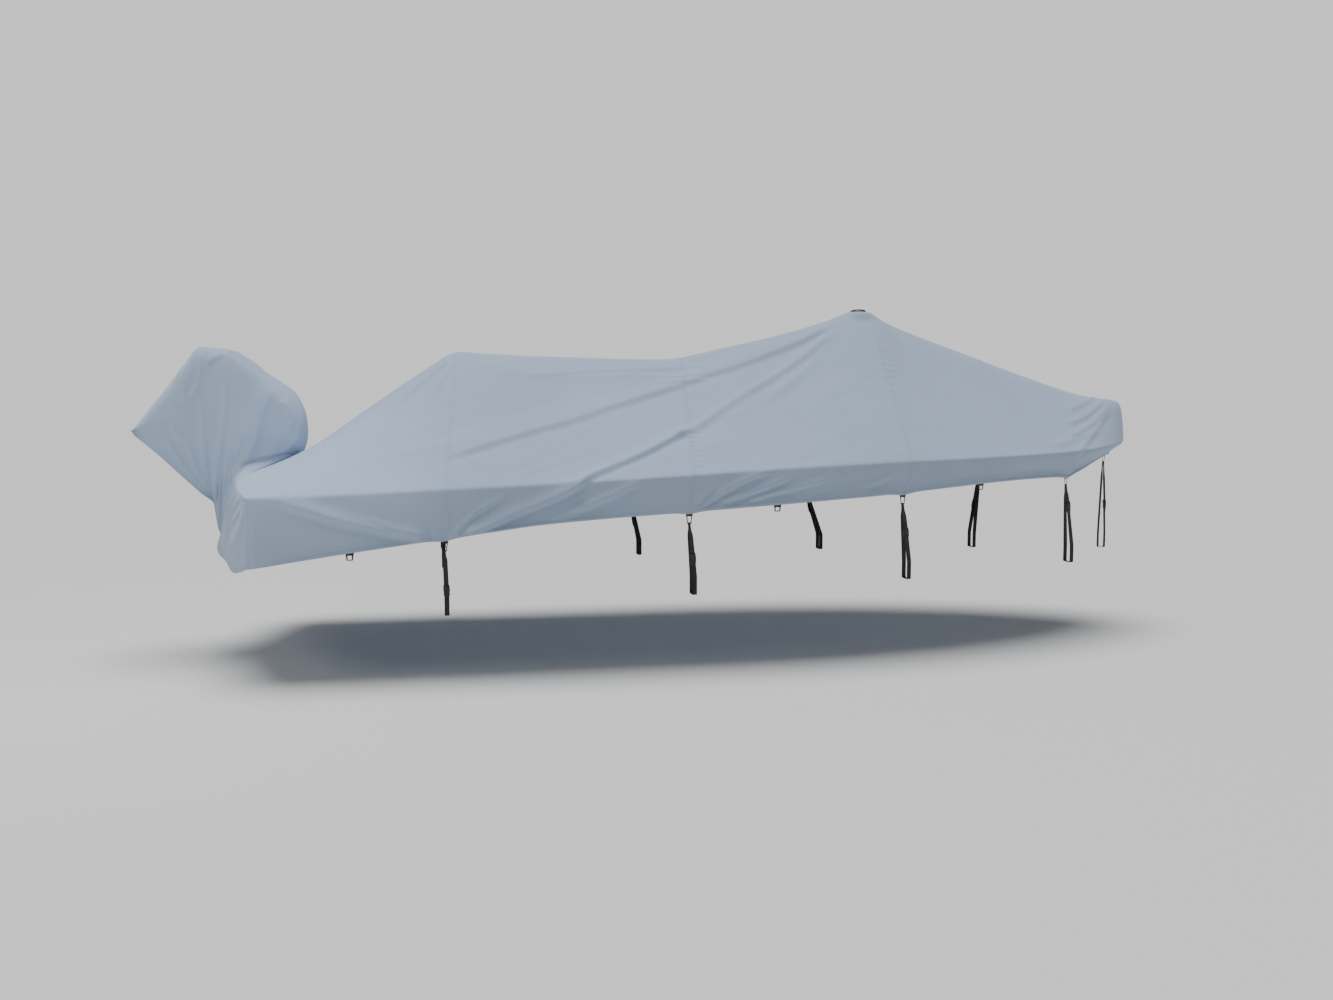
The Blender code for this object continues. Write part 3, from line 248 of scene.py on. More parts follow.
# Rib, x, y and z where the ribs end, from the mouth past the neck to the transom.
HOOD_FEET = (
    (0, -0.675, 0.190, 1.248), (2, -0.580, 0.206, 1.168), (4, -0.455, 0.205, 1.045),
    (6, -0.335, 0.180, 0.922), (7, -0.280, 0.145, 0.865), (8, -0.272, 0.130, 0.785),
    (9, -0.255, 0.130, 0.705), (10, -0.210, 0.210, 0.820), (11, -0.160, 0.340, 0.885),
    (12, -0.110, 0.520, 0.945),
)
TOP_ROWS = np.concatenate(([0.0, POLE_HEAD / HALF_BEAM], np.linspace(0.13, 1.0, 11)))
MEETING_ROW = 9          # the row of the stern edge where the hood leaves it, and the rib there
HOOD_MEETING = 13
LAST_RIB = 22
NECK_RIB = 9
HOOD_CELLS = (170, 100)  # mesh cells from mouth to stern edge, and from the crown to a foot
HOOD_INSIDE = np.array([-0.15, 0.0, 1.30])
HOOD_FADES = (0.18, 0.22)                # share of a fold's line that it fades over at each end

HoodFold = namedtuple("HoodFold", "side fore aft height hollow places")
# Folds of the hood; places are rib and share of the way from crown to foot.
STARBOARD_HOOD_FOLDS = (
    (.014, .022, .0090, .004, (8.9, .33, 9.2, .444, 8.95, .519, 8.25, .70, 8.4, .90)),
    (.016, .022, .0070, .003, (6.5, .42, 6.5, .588, 6.8, .763, 8.0, .93)),
    (.014, .020, .0070, .003, (3.75, .544, 4.15, .65, 5.35, .725, 5.95, .825, 7.6, .95)),
    (.014, .018, .0060, .003, (3.2, .775, 3.9, .85, 5.15, .913, 7.2, .975)),
    (.020, .024, .0060, .002, (10.9, .40, 10.6, .60, 9.6, .78, 8.9, .92)),
    (.016, .020, .0050, .002, (12.4, .50, 11.8, .70, 10.4, .84, 9.4, .95)),
    (.024, .060, .0150, .005, (14.35, .225, 14.25, .406, 14.5, .531, 14.6, .64, 14.2, .78)),
    (.040, .040, -.0050, .000, (16.2, .45, 16.0, .60, 15.7, .70)),
    (.014, .012, -.0140, .000, (12.6, .80, 14.0, .765, 16.0, .75, 18.0, .75, 20.6, .76)),
    (.012, .020, .0080, .004, (15.4, .30, 16.15, .285, 16.95, .306, 17.5, .338, 17.75, .406, 18.3,
         .50)),
    (.012, .016, .0055, .004, (6.7, .319, 7.25, .281, 8.65, .225)),
    (.012, .014, .0050, .003, (6.4, .238, 6.25, .388, 5.3, .462)),
    (.020, .026, .0060, .002, (4.6, .16, 4.9, .32, 5.2, .48)),
    (.018, .018, .0050, .002, (19.4, .35, 19.0, .55, 18.0, .78)),
)
PORT_HOOD_FOLDS = (
    (.014, .022, .0080, .004, (8.2, .30, 8.6, .45, 8.5, .60, 8.3, .78, 8.5, .92)),
    (.016, .022, .0070, .003, (5.6, .46, 5.9, .62, 6.7, .78, 8.0, .94)),
    (.014, .018, .0060, .003, (3.0, .66, 4.0, .78, 5.5, .88, 7.3, .97)),
    (.020, .024, .0060, .002, (11.4, .42, 10.9, .62, 9.9, .80, 9.0, .93)),
    (.028, .056, .0110, .004, (14.8, .25, 14.6, .42, 14.7, .58, 14.5, .68, 14.1, .78)),
    (.040, .040, -.0050, .000, (16.6, .44, 16.3, .60, 15.9, .70)),
    (.014, .012, -.0120, .000, (12.8, .80, 14.1, .765, 16.0, .75, 18.0, .75, 20.5, .76)),
    (.012, .018, .0060, .003, (16.0, .30, 17.0, .32, 17.8, .42, 18.2, .54)),
    (.014, .016, .0050, .003, (6.2, .30, 7.4, .27, 9.0, .24)),
)
HOOD_FOLDS = [HoodFold(-1, *row) for row in STARBOARD_HOOD_FOLDS]
HOOD_FOLDS += [HoodFold(1, *row) for row in PORT_HOOD_FOLDS]

TRANSOM_MIDDLE = np.array([-0.262, 0.0, 0.690])      # middle of the transom's free top edge
# Y, x and z of the transom panel's lower edge, from the centre line outward.
TRANSOM_HEM = (
    (0.0, -0.215, 0.536), (0.13, -0.208, 0.531), (0.45, -0.143, 0.522), (0.75, -0.057, 0.560),
)
TRANSOM_CELLS = (160, 60)
TRANSOM_MIDDLE_CELLS = 26
TRANSOM_SPAN = (0.75, 0.40)      # corner to neck and top to hem, roughly, for its hem and fades
TRANSOM_SWELL = 0.047    # how far it bellies aft
TRANSOM_INSIDE = np.array([1.0, 0.0, 0.8])
Pleat = namedtuple("Pleat", "above below height hollow places")
# Pleats of the transom panel; places are distance out from the middle, and height.
PLEATS = [Pleat(*row) for row in (
    (.024, .011, .0120, .005, (.830, 1.000, .610, .945, .441, .870, .300, .680)),
    (.028, .011, .0110, .005, (.930, .975, .760, .880, .600, .770, .400, .600)),
    (.034, .014, .0120, .004, (.980, .940, .921, .797, .800, .690, .480, .560)),
    (.014, .010, .0070, .004, (.700, .985, .480, .880, .345, .770, .250, .620)),
    (.014, .010, .0080, .004, (.880, 1.000, .690, .915, .530, .810, .350, .640)),
    (.016, .012, .0060, .003, (.960, .950, .850, .850, .700, .740, .450, .590)),
    (.030, .024, .0060, .002, (.965, .830, .900, .700, .760, .600)),
    (.018, .014, .0060, .003, (.300, .820, .240, .740, .200, .640)),
)]
PLEAT_FADES = (0.12, 0.35)               # length that a pleat fades over at each end

# Where a strap leaves the hem, the middle of the rail's underside, and the buckle's height.
Strap = namedtuple("Strap", "name side hem_x rail_x rail_y rail_z buckle_z")
STRAPS = [Strap(*row) for row in (
    ("a_starboard", -1, 0.971, 0.980, -0.912, 0.334, 0.467),
    ("b_starboard", -1, 2.245, 2.297, -0.862, 0.394, 0.600),
    ("c_starboard", -1, 3.467, 3.580, -0.712, 0.422, 0.700),
    ("d_starboard", -1, 4.652, 4.755, -0.412, 0.449, 0.800),
    ("a_port", 1, 0.971, 0.985, 0.912, 0.334, 0.480),
    ("b_port", 1, 2.245, 2.290, 0.862, 0.394, 0.610),
    ("c_port", 1, 3.467, 3.520, 0.712, 0.422, 0.690),
    ("d_port", 1, 4.620, 4.500, 0.412, 0.449, 0.730),
    ("bow", 0, 5.270, 5.215, 0.0, 0.480, 0.760),
)]
RAIL_WIDTH = 0.076
RAIL_HEIGHT = 0.100
RAIL_CORNER = 0.006      # how close to the rail's edges a strap bends round it
BOW_BAR_WIDTH = 0.044
WEBBING = 0.0018         # thickness that tabs have, and that straps keep clear of each other
STRAND_GAP = WEBBING + 0.0005            # from the middle of one strand to the middle of the next
STRAP_WIDTH = 0.025
STRAP_AT_TAB = 0.013     # a strap's width where it gathers in its tab
STRAP_TURN = 0.012       # radius of its bends
LONGEST_TAIL = 0.045     # its free end below the buckle
PATH_STEP = 0.012        # longest step along a strap's line
TAB_SEWN = 0.020
TAB_WIDTH = 0.044
TAB_HOLE = 0.020
TAB_BAR = 0.005
STRAP_TAB_FEET = (0.026, 0.016)          # width of a tab's foot and of its hole's foot
SPARE_TAB_FEET = (0.034, 0.020)
BAR_BEND = 0.0040        # how far a strap stands out from the middle of its tab's bar
BUCKLE = (0.034, 0.0115)                 # width and depth
BUCKLE_SLOT = (STRAP_WIDTH + 0.0014, 2 * WEBBING + 0.0020)
# The buckle's sections: height from its middle, and what is off its width and depth there.
BUCKLE_BODY = (
    (-.0290, .0050, .0035), (-.0278, .0034, .0018), (-.0230, .0022, .0008), (-.0160, .0006, .0004),
    (-.0110, .0010, 0), (-.0085, .0042, 0), (-.0040, .0050, 0), (.0010, .0046, .0002),
    (.0032, .0010, .0004), (.0075, .0004, .0010), (.0088, .0016, .0020),
)
BUCKLE_FRAME = (
    (.0096, .0046, .0036), (.0112, .0034, .0028), (.0165, .0026, .0026), (.0250, .0020, .0022),
    (.0278, .0032, .0030), (.0290, .0052, .0044),
)
CAP_RADIUS = 0.049
CAP_HEIGHT = 0.017
CAP_RIM = (0.0022, 0.0026)               # half the rolled rim's width and height
CAP_SIDES = 72
DOME_INSET = 0.0034      # from the cap's rim in to its dome
GROOVE_RADIUS, GROOVE_WIDTH, GROOVE_DEPTH = 0.019, 0.0016, 0.0007
SHARP_CLOTH, SHARP_WEBBING, SHARP_MOULDING = 60, 70, 40      # an edge is sharp above this, degrees

FLOOR_REACH = 60.0
SUN_SPREAD = 40          # the top light's spread and its tilt, in degrees
SUN_TILT = (-4, -2, 0)
STERN_LIGHT_SIZE = 0.9
STERN_LIGHT_LINE = ((-5.2, -1.9, 0.5), (-3.75, -0.2, -0.55))        # where it is, and its aim
HOOD_LIGHT_SIZE = 0.5
HOOD_LIGHT_CONE = 15     # degrees
HOOD_LIGHT_LINE = ((-1.9, -3.6, -0.2), (-3.42, -0.12, -0.75))
CAMERA_PLACE = (-2.6196, -7.3127, -0.5233)
CAMERA_DOWN = 4.7857     # the camera's tilt below level, and its turn from square on, in degrees
CAMERA_FORWARD = 10.9126


# ---- Curves and noise ----

def smooth(t):
    """Smooth step from 0 to 1."""
    t = np.clip(t, 0.0, 1.0)
    return t * t * (3.0 - 2.0 * t)


def rise(value, length, start=0.0):
    """0 up to a start, and from there smoothly up to 1 over a length."""
    return smooth((value - start) / length)


def curve(points):
    """Monotone cubic through a table's points, as a function of the station."""
    xs, ys = (np.array(column) for column in zip(*points))
    step = np.diff(xs)
    slope = np.diff(ys) / step
    tangent = np.empty(len(xs))
    tangent[0], tangent[-1] = slope[0], slope[-1]
    for i in range(1, len(xs) - 1):
        before, after = slope[i - 1], slope[i]
        a, b = 2.0 * step[i] + step[i - 1], step[i] + 2.0 * step[i - 1]
        tangent[i] = (a + b) / (a / before + b / after) if before * after > 0.0 else 0.0

    def value(x):
        x = np.clip(np.asarray(x, dtype=float), xs[0], xs[-1])
        i = np.clip(np.searchsorted(xs, x, side="right") - 1, 0, len(step) - 1)
        t = (x - xs[i]) / step[i]
        return (ys[i] * (1 + 2 * t) * (1 - t) ** 2 + tangent[i] * step[i] * t * (1 - t) ** 2
                + ys[i + 1] * t * t * (3 - 2 * t) + tangent[i + 1] * step[i] * t * t * (t - 1))

    return value


def catmull_rom(a, b, c, d, f):
    """The smooth line from b to c at the share f of the way, on its way from a to d."""
    return 0.5 * (2 * b + (c - a) * f + (2 * a - 5 * b + 4 * c - d) * f ** 2
                  + (3 * b - a - 3 * c + d) * f ** 3)


def line_through(places):
    """A smooth line through a fold's places, in LINE_POINTS points."""
    p = np.array(places, dtype=float).reshape(-1, 2)
    p = np.vstack([2 * p[0] - p[1], p, 2 * p[-1] - p[-2]])
    t = np.linspace(0.0, len(p) - 3.0, LINE_POINTS)
    k = np.minimum(t.astype(int), len(p) - 4)
    return catmull_rom(p[k], p[k + 1], p[k + 2], p[k + 3], (t - k)[:, None])


def uneven(u, v, seed):
    """Soft random heights from -1 to 1, about one hill to each unit of u and v."""
    lattice = np.random.default_rng(seed).uniform(-1.0, 1.0, NOISE_LATTICE)
    i, j = np.floor(u).astype(int), np.floor(v).astype(int)
    fu, fv = smooth(u - i), smooth(v - j)

    def corner(a, b):
        return lattice[(i + a) % NOISE_LATTICE[0], (j + b) % NOISE_LATTICE[1]]

    low = corner(0, 0) * (1 - fu) + corner(1, 0) * fu
    high = corner(0, 1) * (1 - fu) + corner(1, 1) * fu
    return low * (1 - fv) + high * fv


def hills(along, across, drift, *rows):
    """Unevenness of cloth: each row gives its hills' height, length, width, lean, offset and seed.

    Drift moves the noise along, so that the port side differs from the starboard side."""
    return sum(height * uneven(along / long + drift + lean * across, across / wide + shift, seed)
               for height, long, wide, lean, shift, seed in rows)


def ridge_profile(off, above, below, height, hollow):
    """Cross-section of a fold: off is the distance from its crest, positive on the side above.

    A hollow runs along below it, two of its widths from the crest."""
    width = np.where(off > 0, above, below)
    crest = height * np.exp(-np.abs(off / width) ** CREST_POWER)
    trough = hollow * np.exp(-((off + 2.0 * below) / (1.3 * below)) ** 2)
    return crest - trough


def fold_relief(x, up, fold, start, end):
    """Height of one fold along its line over the cloth; start and end are its fading lengths."""
    line = line_through(fold.places)
    reach = 3.0 * max(fold.above, fold.below) + 2.0 * fold.below
    low, high = line.min(axis=0) - reach, line.max(axis=0) + reach
    near = (x > low[0]) & (x < high[0]) & (up > low[1]) & (up < high[1])
    relief = np.zeros(x.shape)
    if not near.any():
        return relief
    place = np.stack([x[near], up[near]], axis=-1)
    step = np.diff(line, axis=0)
    length = np.linalg.norm(step, axis=1)
    begin = np.concatenate([[0.0], np.cumsum(length)])
    best = np.full(len(place), FAR)
    off, along = np.zeros(len(place)), np.zeros(len(place))
    for k in range(len(step)):
        direction = step[k] / length[k]
        offset = place - line[k]
        run = np.clip(offset @ direction, 0.0, length[k])
        distance = np.hypot(*(offset - run[:, None] * direction).T)
        closer = distance < best
        forward = math.copysign(1.0, direction[0])
        side = np.sign(direction[0] * offset[:, 1] - direction[1] * offset[:, 0]) * forward
        best = np.where(closer, distance, best)
        off = np.where(closer, distance * side, off)
        along = np.where(closer, begin[k] + run, along)
    fade = rise(along, start) * rise(begin[-1] - along, end)
    relief[near] = ridge_profile(off, fold.above, fold.below, fold.height, fold.hollow) * fade
    return relief


# ---- Grids of cloth ----

def both_sides(half):
    """A grid's coordinate from one edge over the middle to the other, and the side at each step."""
    side = np.concatenate([-np.ones(len(half)), np.ones(len(half) - 1)])
    return np.concatenate([half[::-1], half[1:]]), side


def on_side(points, side):
    """Points of the starboard half on the side asked for: -1 is starboard and 1 is port."""
    return points * np.stack([np.ones_like(side), -side, np.ones_like(side)], axis=-1)


def soften(points, times):
    """Let the kinks that the tables leave lie soft in the cloth; the grid's edges stay."""
    for _ in range(times):
        points[1:-1, 1:-1] = (points[1:-1, 1:-1] * 2 + points[:-2, 1:-1] + points[2:, 1:-1]
                              + points[1:-1, :-2] + points[1:-1, 2:]) / 6


def grid_normals(points, inside):
    """Unit normals of a grid of points, turned away from a point on the hidden side."""
    normal = np.cross(np.gradient(points, axis=0), np.gradient(points, axis=1))
    length = np.linalg.norm(normal, axis=-1, keepdims=True)
    normal = normal / np.maximum(length, 1e-12)
    return normal * np.sign(((points - inside) * normal).sum())


def hem_rope(hem_gap):
    """How far the rope in the hem lifts the cloth, at a distance from the hem's edge."""
    across = np.clip((hem_gap - ROPE_RADIUS) / ROPE_RADIUS, -1.0, 1.0)
    return HEM_ROPE * np.sqrt(1.0 - across ** 2)


# ---- The main cover's surface ----

ridge_height, rail_height, hem_height = curve(RIDGE), curve(GUNWALE), curve(HEM)
ridge_rounding, belly, tuck = curve(ROUNDING), curve(BELLY), curve(TUCK)


def half_breadth(x):
    """Half the width of the covered hull at the gunwale."""
    x = np.asarray(x, dtype=float)
    aft = 1.0 - STERN_TAPER / HALF_BEAM * np.clip((BEAM_STATION - x) / BEAM_STATION, 0, 1) ** 2
    reach = np.clip((x - BEAM_STATION) / (COVER_LENGTH - BEAM_STATION), 0, 1)
    return HALF_BEAM * aft * (1.0 - reach ** BOW_FULLNESS[0]) ** BOW_FULLNESS[1]


def plan_normal(x):
    """Outward direction of the gunwale seen from above, on the port side; forward at the stem."""
    step = 0.008
    lower = np.clip(x - step / 2, 0.0, COVER_LENGTH - step)
    dy = half_breadth(lower + step) - half_breadth(lower)
    length = np.hypot(dy, step)
    nx, ny = -dy / length, step / length
    tip = rise(x, 1.5 * step, COVER_LENGTH - 1.5 * step)
    nx, ny = nx + (1.0 - nx) * tip, ny * (1.0 - tip)
    length = np.hypot(nx, ny)
    return nx / length, ny / length


def cover_base(ridge_x, rail_x, hem_x, w):
    """Points of the port half without folds: w is 0 at the ridge, 1 at the gunwale, 2 at the hem.

    Also gives, for each point, how far up the cloth it lies from the gunwale."""
    ridge_x, rail_x, hem_x, w = np.broadcast_arrays(ridge_x, rail_x, hem_x, w)
    breadth = half_breadth(rail_x)
    top, rail, hem = ridge_height(ridge_x), rail_height(rail_x), hem_height(hem_x)
    across = np.clip(w, 0.0, 1.0)
    down = np.clip(w - 1.0, 0.0, 1.0)

    softness = ridge_rounding(ridge_x) / np.maximum(breadth, 0.12)       # less at the narrow bow
    fall = (np.hypot(across, softness) - softness) / (np.hypot(1.0, softness) - softness)
    aft_share = np.clip(1.0 - (rail_x - SEAMS[0][1]) / SEAMS[1][1], 0.0, 1.0) ** 2
    x = ridge_x + (rail_x - ridge_x) * across
    x = x - STERN_BOW * np.sin(math.pi * across) * aft_share
    y = breadth * across
    z = top + (rail - top) * fall

    nx, ny = plan_normal(rail_x)
    swell = belly(rail_x) * np.sin(math.pi * across ** 0.8)      # fullest nearer to the ridge
    slope = np.arctan2(top - rail, np.maximum(breadth, 0.25))
    inward = tuck(rail_x) * smooth(down)
    x = x + swell * nx * np.sin(slope) - inward * nx + (hem_x - rail_x) * down
    y = y + swell * ny * np.sin(slope) - inward * ny
    z = z + swell * np.cos(slope) + (hem - rail) * down

    distance = np.hypot(x - PEAK_STATION, y)
    pressed = 1.0 - rise(distance, POLE_HEAD, POLE_HEAD)
    z = np.where(across < 0.5, z + (PEAK_HEIGHT - z) * pressed, z)

    slant = np.hypot(top - rail, breadth)
    up = np.where(w < 1.0, (1.0 - across) * slant, -down * (rail - hem))
    return np.stack([x, y, z], axis=-1), up


def girth_line(s):
    """Stations of the line across the cover at s: 0 to 4, a whole number at each seam."""
    s = np.clip(np.asarray(s, dtype=float), 0.0, len(PANELS))
    panel = np.minimum(s.astype(int), len(PANELS) - 1)
    share = s - panel
    share = np.where(panel == len(PANELS) - 1, np.sin(share * math.pi / 2), share)
    table = np.array(SEAMS)
    stations = table[panel] + (table[panel + 1] - table[panel]) * share[..., None]
    return stations[..., 0], stations[..., 1], stations[..., 2]


def edge_point(w):
    """Points of the stern edge, on the starboard side."""
    point, _ = cover_base(*girth_line(np.zeros_like(w)), w)
    return point * np.array([1.0, -1.0, 1.0])


def on_stem(normal):
    """Normals along the stem, where the two sides meet, turned into the centre plane."""
    normal = normal * np.array([1.0, 0.0, 1.0])
    middle = len(normal) // 2
    normal[middle] = normal[middle - 1] + normal[middle + 1]
    return normal / np.linalg.norm(normal, axis=-1, keepdims=True)


def round_stern_corner(points):
    """Draw the stern corner in below the gunwale, so that its two panels meet softly."""
    corner = edge_point(np.array(1.5))
    apart = np.hypot(points[..., 0] - corner[0], np.abs(points[..., 1]) - abs(corner[1]))
    amount = CORNER_CUT * np.clip(1.0 - apart / CORNER_REACH, 0.0, 1.0) ** 2
    amount = amount * rise(rail_height(0.0) + 0.02 - points[..., 2], 0.05)
    step = np.stack([amount, -amount * np.sign(points[..., 1]), np.zeros_like(amount)], axis=-1)
    return points + step


def fan_relief(x, up, fan):
    """Small folds that run out from one point of the cover."""
    dx, dup = x - fan.x, up - fan.up
    distance, angle = np.hypot(dx, dup), np.arctan2(dup, dx)
    wobble = 0.8 * uneven(angle * 2.0, distance / 0.12, 7 + fan.folds)
    bump = fan.height * np.cos(fan.folds * angle + fan.turn + 2.0 * wobble) * (0.6 + wobble)
    return bump * rise(distance, 0.05, 0.015) * np.exp(-(distance / fan.reach) ** 2)


def pucker_relief(x_from_seam, up, pucker, seed):
    """Gathers that run away from a seam."""
    sway = uneven(up / 0.16, np.full_like(up, 0.5), seed)
    loudness = 0.65 + 0.5 * uneven(up / 0.09, np.full_like(up, 3.5), seed + 1)
    reach = np.where(x_from_seam > 0, pucker.fore, pucker.aft) * (1.0 + 0.35 * sway)
    wave = np.sin(2 * math.pi * (up + 0.12 * x_from_seam) / pucker.spacing + 3.0 * sway)
    band = rise(up, 0.04, pucker.low) * rise(pucker.high - up, 0.06)
    return pucker.height * loudness * band * wave * np.exp(-(x_from_seam / reach) ** 2)


def cover_grid():
    """The main cover: points, its material's measures, and each panel's first column."""
    s = np.concatenate([np.arange(n) / n + k for k, n in enumerate(PANEL_COLUMNS)]
                       + [[len(PANELS)]])
    w, side = both_sides(np.concatenate([np.linspace(0, 1, TOP_CELLS + 1),
                                         1 + np.linspace(0, 1, SKIRT_CELLS + 1)[1:]]))
    points, up = cover_base(*girth_line(s[None, :]), w[:, None])
    points[..., 1] *= side[:, None]
    for row in (SKIRT_CELLS, len(w) - 1 - SKIRT_CELLS):      # the gunwale's edge is a soft bend
        band = slice(row - 2, row + 3)
        for _ in range(3):
            points[band] = (0.25 * points[row - 3:row + 2] + 0.5 * points[band]
                            + 0.25 * points[row - 1:row + 4])
    normal = grid_normals(points, COVER_INSIDE)
    normal[:, -1] = on_stem(normal[:, -1])

    x, y = points[..., 0], points[..., 1]
    starts = np.concatenate([[0], np.cumsum(PANEL_COLUMNS)])
    from_seam = [x - x[:, start][:, None] for start in starts]
    hem_gap = up - up[[0]]                                   # height above the hem's edge
    side = np.broadcast_to(side[:, None], up.shape)
    bumps = [(fold, fold_relief(x, up, fold, fold.start, fold.end)) for fold in FOLDS]
    bumps += [(fan, fan_relief(x, up, fan)) for fan in FANS]
    bumps += [(pucker, pucker_relief(from_seam[pucker.seam], up, pucker, 40 + 2 * number))
              for number, pucker in enumerate(PUCKERS)]
    relief = sum(np.where(side == source.side, bump, 0.0) for source, bump in bumps)
    for gap in from_seam[1:4]:                               # the felled seams
        relief += FELL_HEIGHT * rise(gap, 0.004, -FELL_WIDTH) * rise(0.001 - gap, 0.002)

    drift = np.where(side > 0, 11.0, 0.0)                    # other noise on the port side
    slope = np.where(x < PEAK_STATION, *PULL_SLOPES)
    run = (x - PEAK_STATION) * np.cos(slope) + up * np.sin(slope)
    off = up * np.cos(slope) - (x - PEAK_STATION) * np.sin(slope)
    drawn = rise(up, 0.10) * (1.0 - 0.6 * rise(x, 0.8, 3.0))             # tighter towards the bow
    slack = rise(-up, 0.12)                                  # the skirt hangs free
    relief += drawn * hills(run, off, drift, (.0028, .75, .10, 0, 20, 3),
                            (.0013, .30, .045, 0, 20, 4))
    relief += hills(x, up, drift, (.0040, .55, .45, 0, 9, 5))
    relief += slack * hills(x, up, drift, (.0038, .24, .50, .5, 5, 6),
                            (.0014, .085, .22, 2, 5, 8))
    flare = rise(FLARE_REACH - hem_gap, FLARE_REACH)
    relief += HEM_FLARE * flare * (0.75 + 0.5 * uneven(x / 0.30 + drift, np.full_like(up, 2.0), 9))
    relief += hem_rope(hem_gap)
    relief -= HEM_DENT * np.exp(-((hem_gap - HEM_BAND) / 0.003) ** 2)

    held = rise(from_seam[0], 0.06)                          # sewn along the stern edge
    nose = rise(COVER_LENGTH - x, 0.03) * rise(len(PANELS) - s, 0.04)
    on_pole = rise(np.hypot(x - PEAK_STATION, y), 0.05, CAP_RADIUS * 1.1)
    points = points + normal * (relief * held * nose * on_pole)[..., None]
    for strap in STRAPS:
        pull = np.exp(-((x - strap.hem_x) / PULL_WIDTH) ** 2) * held
        pull = pull * rise(PULL_REACH - hem_gap, PULL_REACH)
        on_this = (side == strap.side) | (strap.side == 0)
        points[..., 2] -= np.where(on_this, STRAP_PULL * pull, 0.0)
    seam_gap = np.min(np.abs(np.stack(from_seam[:4])), axis=0)
    fields = {"seam_gap": seam_gap, "hem_gap": hem_gap, "run": x, "girth": up}
    return round_stern_corner(points), fields, starts


# ---- The motor hood's and the transom panel's surfaces ----

def stern_row(row):
    """How far out a row of the stern edge lies: 0 on the ridge and 1 at the gunwale."""
    return np.interp(row, np.arange(len(TOP_ROWS)), TOP_ROWS)


def hood_foot(rib):
    """Where a rib ends, on the starboard side."""
    rib = np.asarray(rib, dtype=float)
    meeting = edge_point(np.array(TOP_ROWS[MEETING_ROW])) * [1, -1, 1]
    x, y, z = (curve([(row[0], row[axis + 1]) for row in HOOD_FEET]
                     + [(HOOD_MEETING, meeting[axis])])(rib) for axis in range(3))
    free = np.stack([x, -y, z], axis=-1)
    return np.where((rib < HOOD_MEETING)[..., None], free, edge_point(stern_row(LAST_RIB - rib)))


def hood_surface(rib, t, side):
    """Points of the hood: t is 0 on the crown and 1 at the foot of the rib."""
    rib, t, side = np.broadcast_arrays(np.asarray(rib, dtype=float), t, side)
    crown_x, crown_z, shoulder_y, drop, waist_x, waist_y, waist_z = (
        curve([(row.rib, row[k]) for row in HOOD_RIBS])(rib) for k in range(1, 8))
    zero = np.zeros_like(rib)
    crown = np.stack([crown_x, zero, crown_z], axis=-1)
    shoulder = crown + np.stack([zero, -shoulder_y, -drop], axis=-1)
    waist = np.stack([waist_x, -waist_y, waist_z], axis=-1)
    flank = (shoulder + waist) / 2
    flank[..., 1] = np.minimum(shoulder[..., 1], waist[..., 1]) * 1.06
    foot = hood_foot(rib)
    knots = [shoulder * [1, -1, 1], crown, shoulder, flank, waist, foot, 2 * foot - waist]
    place = np.clip(t, 0.0, 1.0) * 4.0
    span = np.minimum(place.astype(int), 3)
    f = (place - span)[..., None]
    p0, p1, p2, p3 = (np.choose(span[..., None], [knots[k + shift] for k in range(4)])
                      for shift in range(4))
    point = catmull_rom(p0, p1, p2, p3, f)
    near_waist = np.select([span == 2, span == 3], [smooth(place - 2.0), smooth(4.0 - place)], 0.0)
    sharp = (near_waist * rise(rib, 3.0, 11.0))[..., None]           # it stands on the cover there
    return on_side(point + (p1 + (p2 - p1) * f - point) * sharp, side)


def hood_fold_relief(points, rib, share, fold):
    """Height of one fold of the hood, by its distance from the fold's line in space."""
    line = line_through(fold.places)
    crest = hood_surface(line[:, 0], line[:, 1], np.full(LINE_POINTS, float(fold.side)))
    apart, along = np.full(rib.shape, FAR), np.zeros(rib.shape)
    for k, step in enumerate(np.diff(crest, axis=0)):
        run = np.clip(((points - crest[k]) @ step) / (step @ step), 0.0, 1.0)
        distance = np.linalg.norm(points - crest[k] - run[..., None] * step, axis=-1)
        along = np.where(distance < apart, (k + run) / (LINE_POINTS - 1), along)
        apart = np.minimum(apart, distance)
    if np.ptp(line[:, 0]) > 18 * np.ptp(line[:, 1]):         # a fold that runs across the ribs
        line = line[np.argsort(line[:, 0])]
        fore_of = np.interp(rib, line[:, 0], line[:, 1]) - share
    else:
        line = line[np.argsort(line[:, 1])]
        fore_of = rib - np.interp(share, line[:, 1], line[:, 0])
    off = np.where(fore_of < 0.0, -apart, apart)
    fade = rise(along, HOOD_FADES[0]) * rise(1.0 - along, HOOD_FADES[1])
    return ridge_profile(off, fold.fore, fold.aft, fold.height, fold.hollow) * fade


